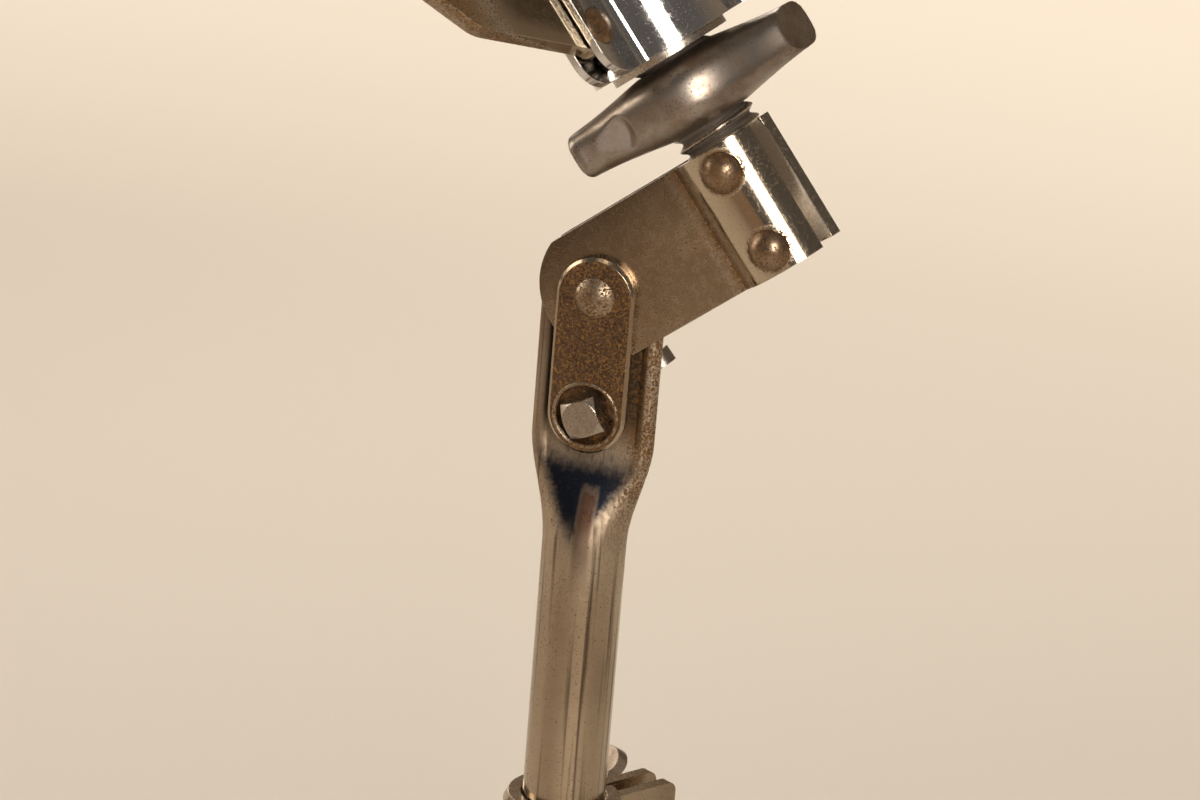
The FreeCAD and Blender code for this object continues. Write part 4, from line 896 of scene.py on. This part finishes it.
class STAND_OT_basket_nut(bpy.types.Operator):
    """Cast the wing nut under the basket"""
    bl_idname = "stand.basket_nut"
    bl_label = "Basket nut"

    def execute(self, context):
        crest = node_radius("threaded_post", POST_AXIS, POST_AT)
        mesh = nut_mesh(context.scene.stand_sizes, crest)
        nut = add_piece("nut_casting", mesh, finish(context, dull_casting), "basket_nut")
        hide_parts("basket_wing_nut")
        dress(context, dull_casting, "basket_wing_nut")
        return {"FINISHED"}


class STAND_OT_hub(bpy.types.Operator):
    """Finish the basket's hub, its rivets, washer and cap"""
    bl_idname = "stand.hub"
    bl_label = "Basket hub"

    def execute(self, context):
        dress(context, bright_chrome, "hub_floor", *numbered("hub_panel_"))
        dress(context, browned_rivet, "arm_rivets")
        dress(context, machined_steel, "thrust_washer", "post_cap")
        return {"FINISHED"}


def mould(context, node_stem, body_stem, piece_stem):
    """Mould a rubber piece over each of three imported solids."""
    for node, body, name in zip(numbered(node_stem), numbered(body_stem), numbered(piece_stem)):
        mesh = rubber_mesh(node, context.scene.stand_sizes)
        piece = add_piece(name, mesh, finish(context, moulded_rubber), body)
        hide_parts(node)
        dress(context, moulded_rubber, node)


class STAND_OT_arms(bpy.types.Operator):
    """Finish the basket's arms and mould their pads"""
    bl_idname = "stand.arms"
    bl_label = "Arms"

    def execute(self, context):
        dress(context, pressed_nickel_sheet, *numbered("basket_arm_"))
        mould(context, "arm_pad_", "arm_", "pad_sleeve_")
        return {"FINISHED"}


class STAND_OT_clamp(bpy.types.Operator):
    """Finish the height clamp, its bolt, washer and wing nut"""
    bl_idname = "stand.clamp"
    bl_label = "Height clamp"

    def execute(self, context):
        dress(context, drawn_nickel_tube, "height_clamp")
        dress(context, machined_steel, "clamp_bolt", "clamp_washer")
        dress(context, dull_casting, "clamp_wing_nut")
        return {"FINISHED"}


class STAND_OT_base(bpy.types.Operator):
    """Finish the tripod's hub, pins and legs, and mould its boots"""
    bl_idname = "stand.base"
    bl_label = "Tripod"

    def execute(self, context):
        dress(context, dull_casting, "base_hub")
        dress(context, browned_rivet, "leg_pins")
        dress(context, drawn_nickel_tube, *numbered("leg_"))
        mould(context, "foot_", "leg_", "foot_boot_")
        return {"FINISHED"}


def add_floor(scene, look):
    """A wide floor at the stand's feet."""
    mesh = bpy.data.meshes.new("floor")
    corners = [(FLOOR_REACH * x, FLOOR_REACH * y, 0.0) for x, y in ((-1, -1), (1, -1), (1, 1), (-1, 1))]
    mesh.from_pydata(corners, [], [(0, 1, 2, 3)])
    mesh.materials.append(studio_floor(look))
    floor = bpy.data.objects.new("floor", mesh)
    scene.collection.objects.link(floor)


def add_room(scene):
    """The studio's air: a dim room in front of the stand that lightens to a pale wall behind it."""
    world = bpy.data.worlds.new("Studio")
    world.use_nodes = True
    tree = world.node_tree
    facing = add(tree, "SeparateXYZ", {"Vector": add(tree, "TexCoord").outputs["Generated"]}).outputs["Y"]
    behind = add(tree, "MapRange", {"Value": facing, **source(-0.3, 0.6)}, **SMOOTH)
    air = add(tree, "Mix", {SHARE: behind, UNDER: linear(ROOM_FRONT), OVER: linear(ROOM_WALL)},
              data_type="RGBA")
    tree.links.new(air.outputs[2], tree.nodes["Background"].inputs["Color"])
    scene.world = world


def add_panel_light(name, place, aim, width, height, power, spread, tint):
    """A soft rectangular light that faces a point; its light keeps within the spread, in degrees."""
    light = bpy.data.lights.new(name, "AREA")
    light.shape = "RECTANGLE"
    light.size = width
    light.size_y = height
    light.energy = power
    light.spread = math.radians(spread)
    light.color = linear(tint)[:3]
    lamp = bpy.data.objects.new(name, light)
    lamp.location = place
    lamp.rotation_euler = (aim - Vector(place)).to_track_quat("-Z", "Y").to_euler()
    bpy.context.scene.collection.objects.link(lamp)


def add_camera(scene, sizes):
    """The camera, aimed from its angles and set back from the tilt pivot."""
    azimuth, rise, roll = sizes.camera_azimuth, sizes.camera_elevation, sizes.camera_roll
    back = Vector((math.sin(azimuth) * math.cos(rise), -math.cos(azimuth) * math.cos(rise), math.sin(rise)))
    level = Vector((math.cos(azimuth), math.sin(azimuth), 0.0))
    upright = back.cross(level)
    right = level * math.cos(roll) + upright * math.sin(roll)
    up = upright * math.cos(roll) - level * math.sin(roll)
    lens = bpy.data.cameras.new("camera")
    lens.lens = lens.sensor_width * sizes.camera_away / sizes.camera_field
    lens.clip_start = 0.01
    camera = bpy.data.objects.new("camera", lens)
    at = PIVOT - up * sizes.camera_drop - right * sizes.camera_shift + back * sizes.camera_away
    camera.matrix_world = placing(right, up, back, at)
    scene.collection.objects.link(camera)
    scene.camera = camera


class STAND_OT_stage(bpy.types.Operator):
    """Lay the floor and set the lights and the camera"""
    bl_idname = "stand.stage"
    bl_label = "Stage"

    def execute(self, context):
        scene = context.scene
        add_floor(scene, scene.stand_colours)
        add_room(scene)
        for name, place, width, height, power, tint in STAND_LAMPS:
            add_panel_light(name, place, STAND_MIDDLE, width, height, power, STAND_LAMP_SPREAD, tint)
        for name, x, y, width, depth, power, spread, tint in FLOOR_LAMPS:
            place, below = (x, y, FLOOR_LAMP_Z), Vector((x, y, 0.0))
            add_panel_light(name, place, below, width, depth, power, spread, tint)
        scene.view_settings.view_transform = "Standard"
        add_camera(scene, scene.stand_sizes)
        return {"FINISHED"}


PIECES = (STAND_OT_tubes, STAND_OT_tilter, STAND_OT_bracket, STAND_OT_post, STAND_OT_basket_nut,
          STAND_OT_hub, STAND_OT_arms, STAND_OT_clamp, STAND_OT_base, STAND_OT_stage)


class STAND_PT_panel(bpy.types.Panel):
    """Lists the stand's sizes, its colours and its pieces"""
    bl_idname = "STAND_PT_panel"
    bl_label = "Snare Drum Stand"
    bl_space_type = "VIEW_3D"
    bl_region_type = "UI"
    bl_category = "Drum Stand"

    def draw(self, context):
        for group in (context.scene.stand_sizes, context.scene.stand_colours):
            for name in group.__annotations__:
                self.layout.prop(group, name)
        for piece in PIECES:
            self.layout.operator(piece.bl_idname)


CLASSES = (StandColours, StandSizes, *PIECES, STAND_PT_panel)


def register():
    for each in CLASSES:
        bpy.utils.register_class(each)
    bpy.types.Scene.stand_colours = bpy.props.PointerProperty(type=StandColours)
    bpy.types.Scene.stand_sizes = bpy.props.PointerProperty(type=StandSizes)


def unregister():
    del bpy.types.Scene.stand_sizes
    del bpy.types.Scene.stand_colours
    for each in reversed(CLASSES):
        bpy.utils.unregister_class(each)


def main():
    register()
    bpy.ops.stand.tubes()
    bpy.ops.stand.tilter()
    bpy.ops.stand.bracket()
    bpy.ops.stand.post()
    bpy.ops.stand.basket_nut()
    bpy.ops.stand.hub()
    bpy.ops.stand.arms()
    bpy.ops.stand.clamp()
    bpy.ops.stand.base()
    bpy.ops.stand.stage()


if __name__ == "__main__":
    main()
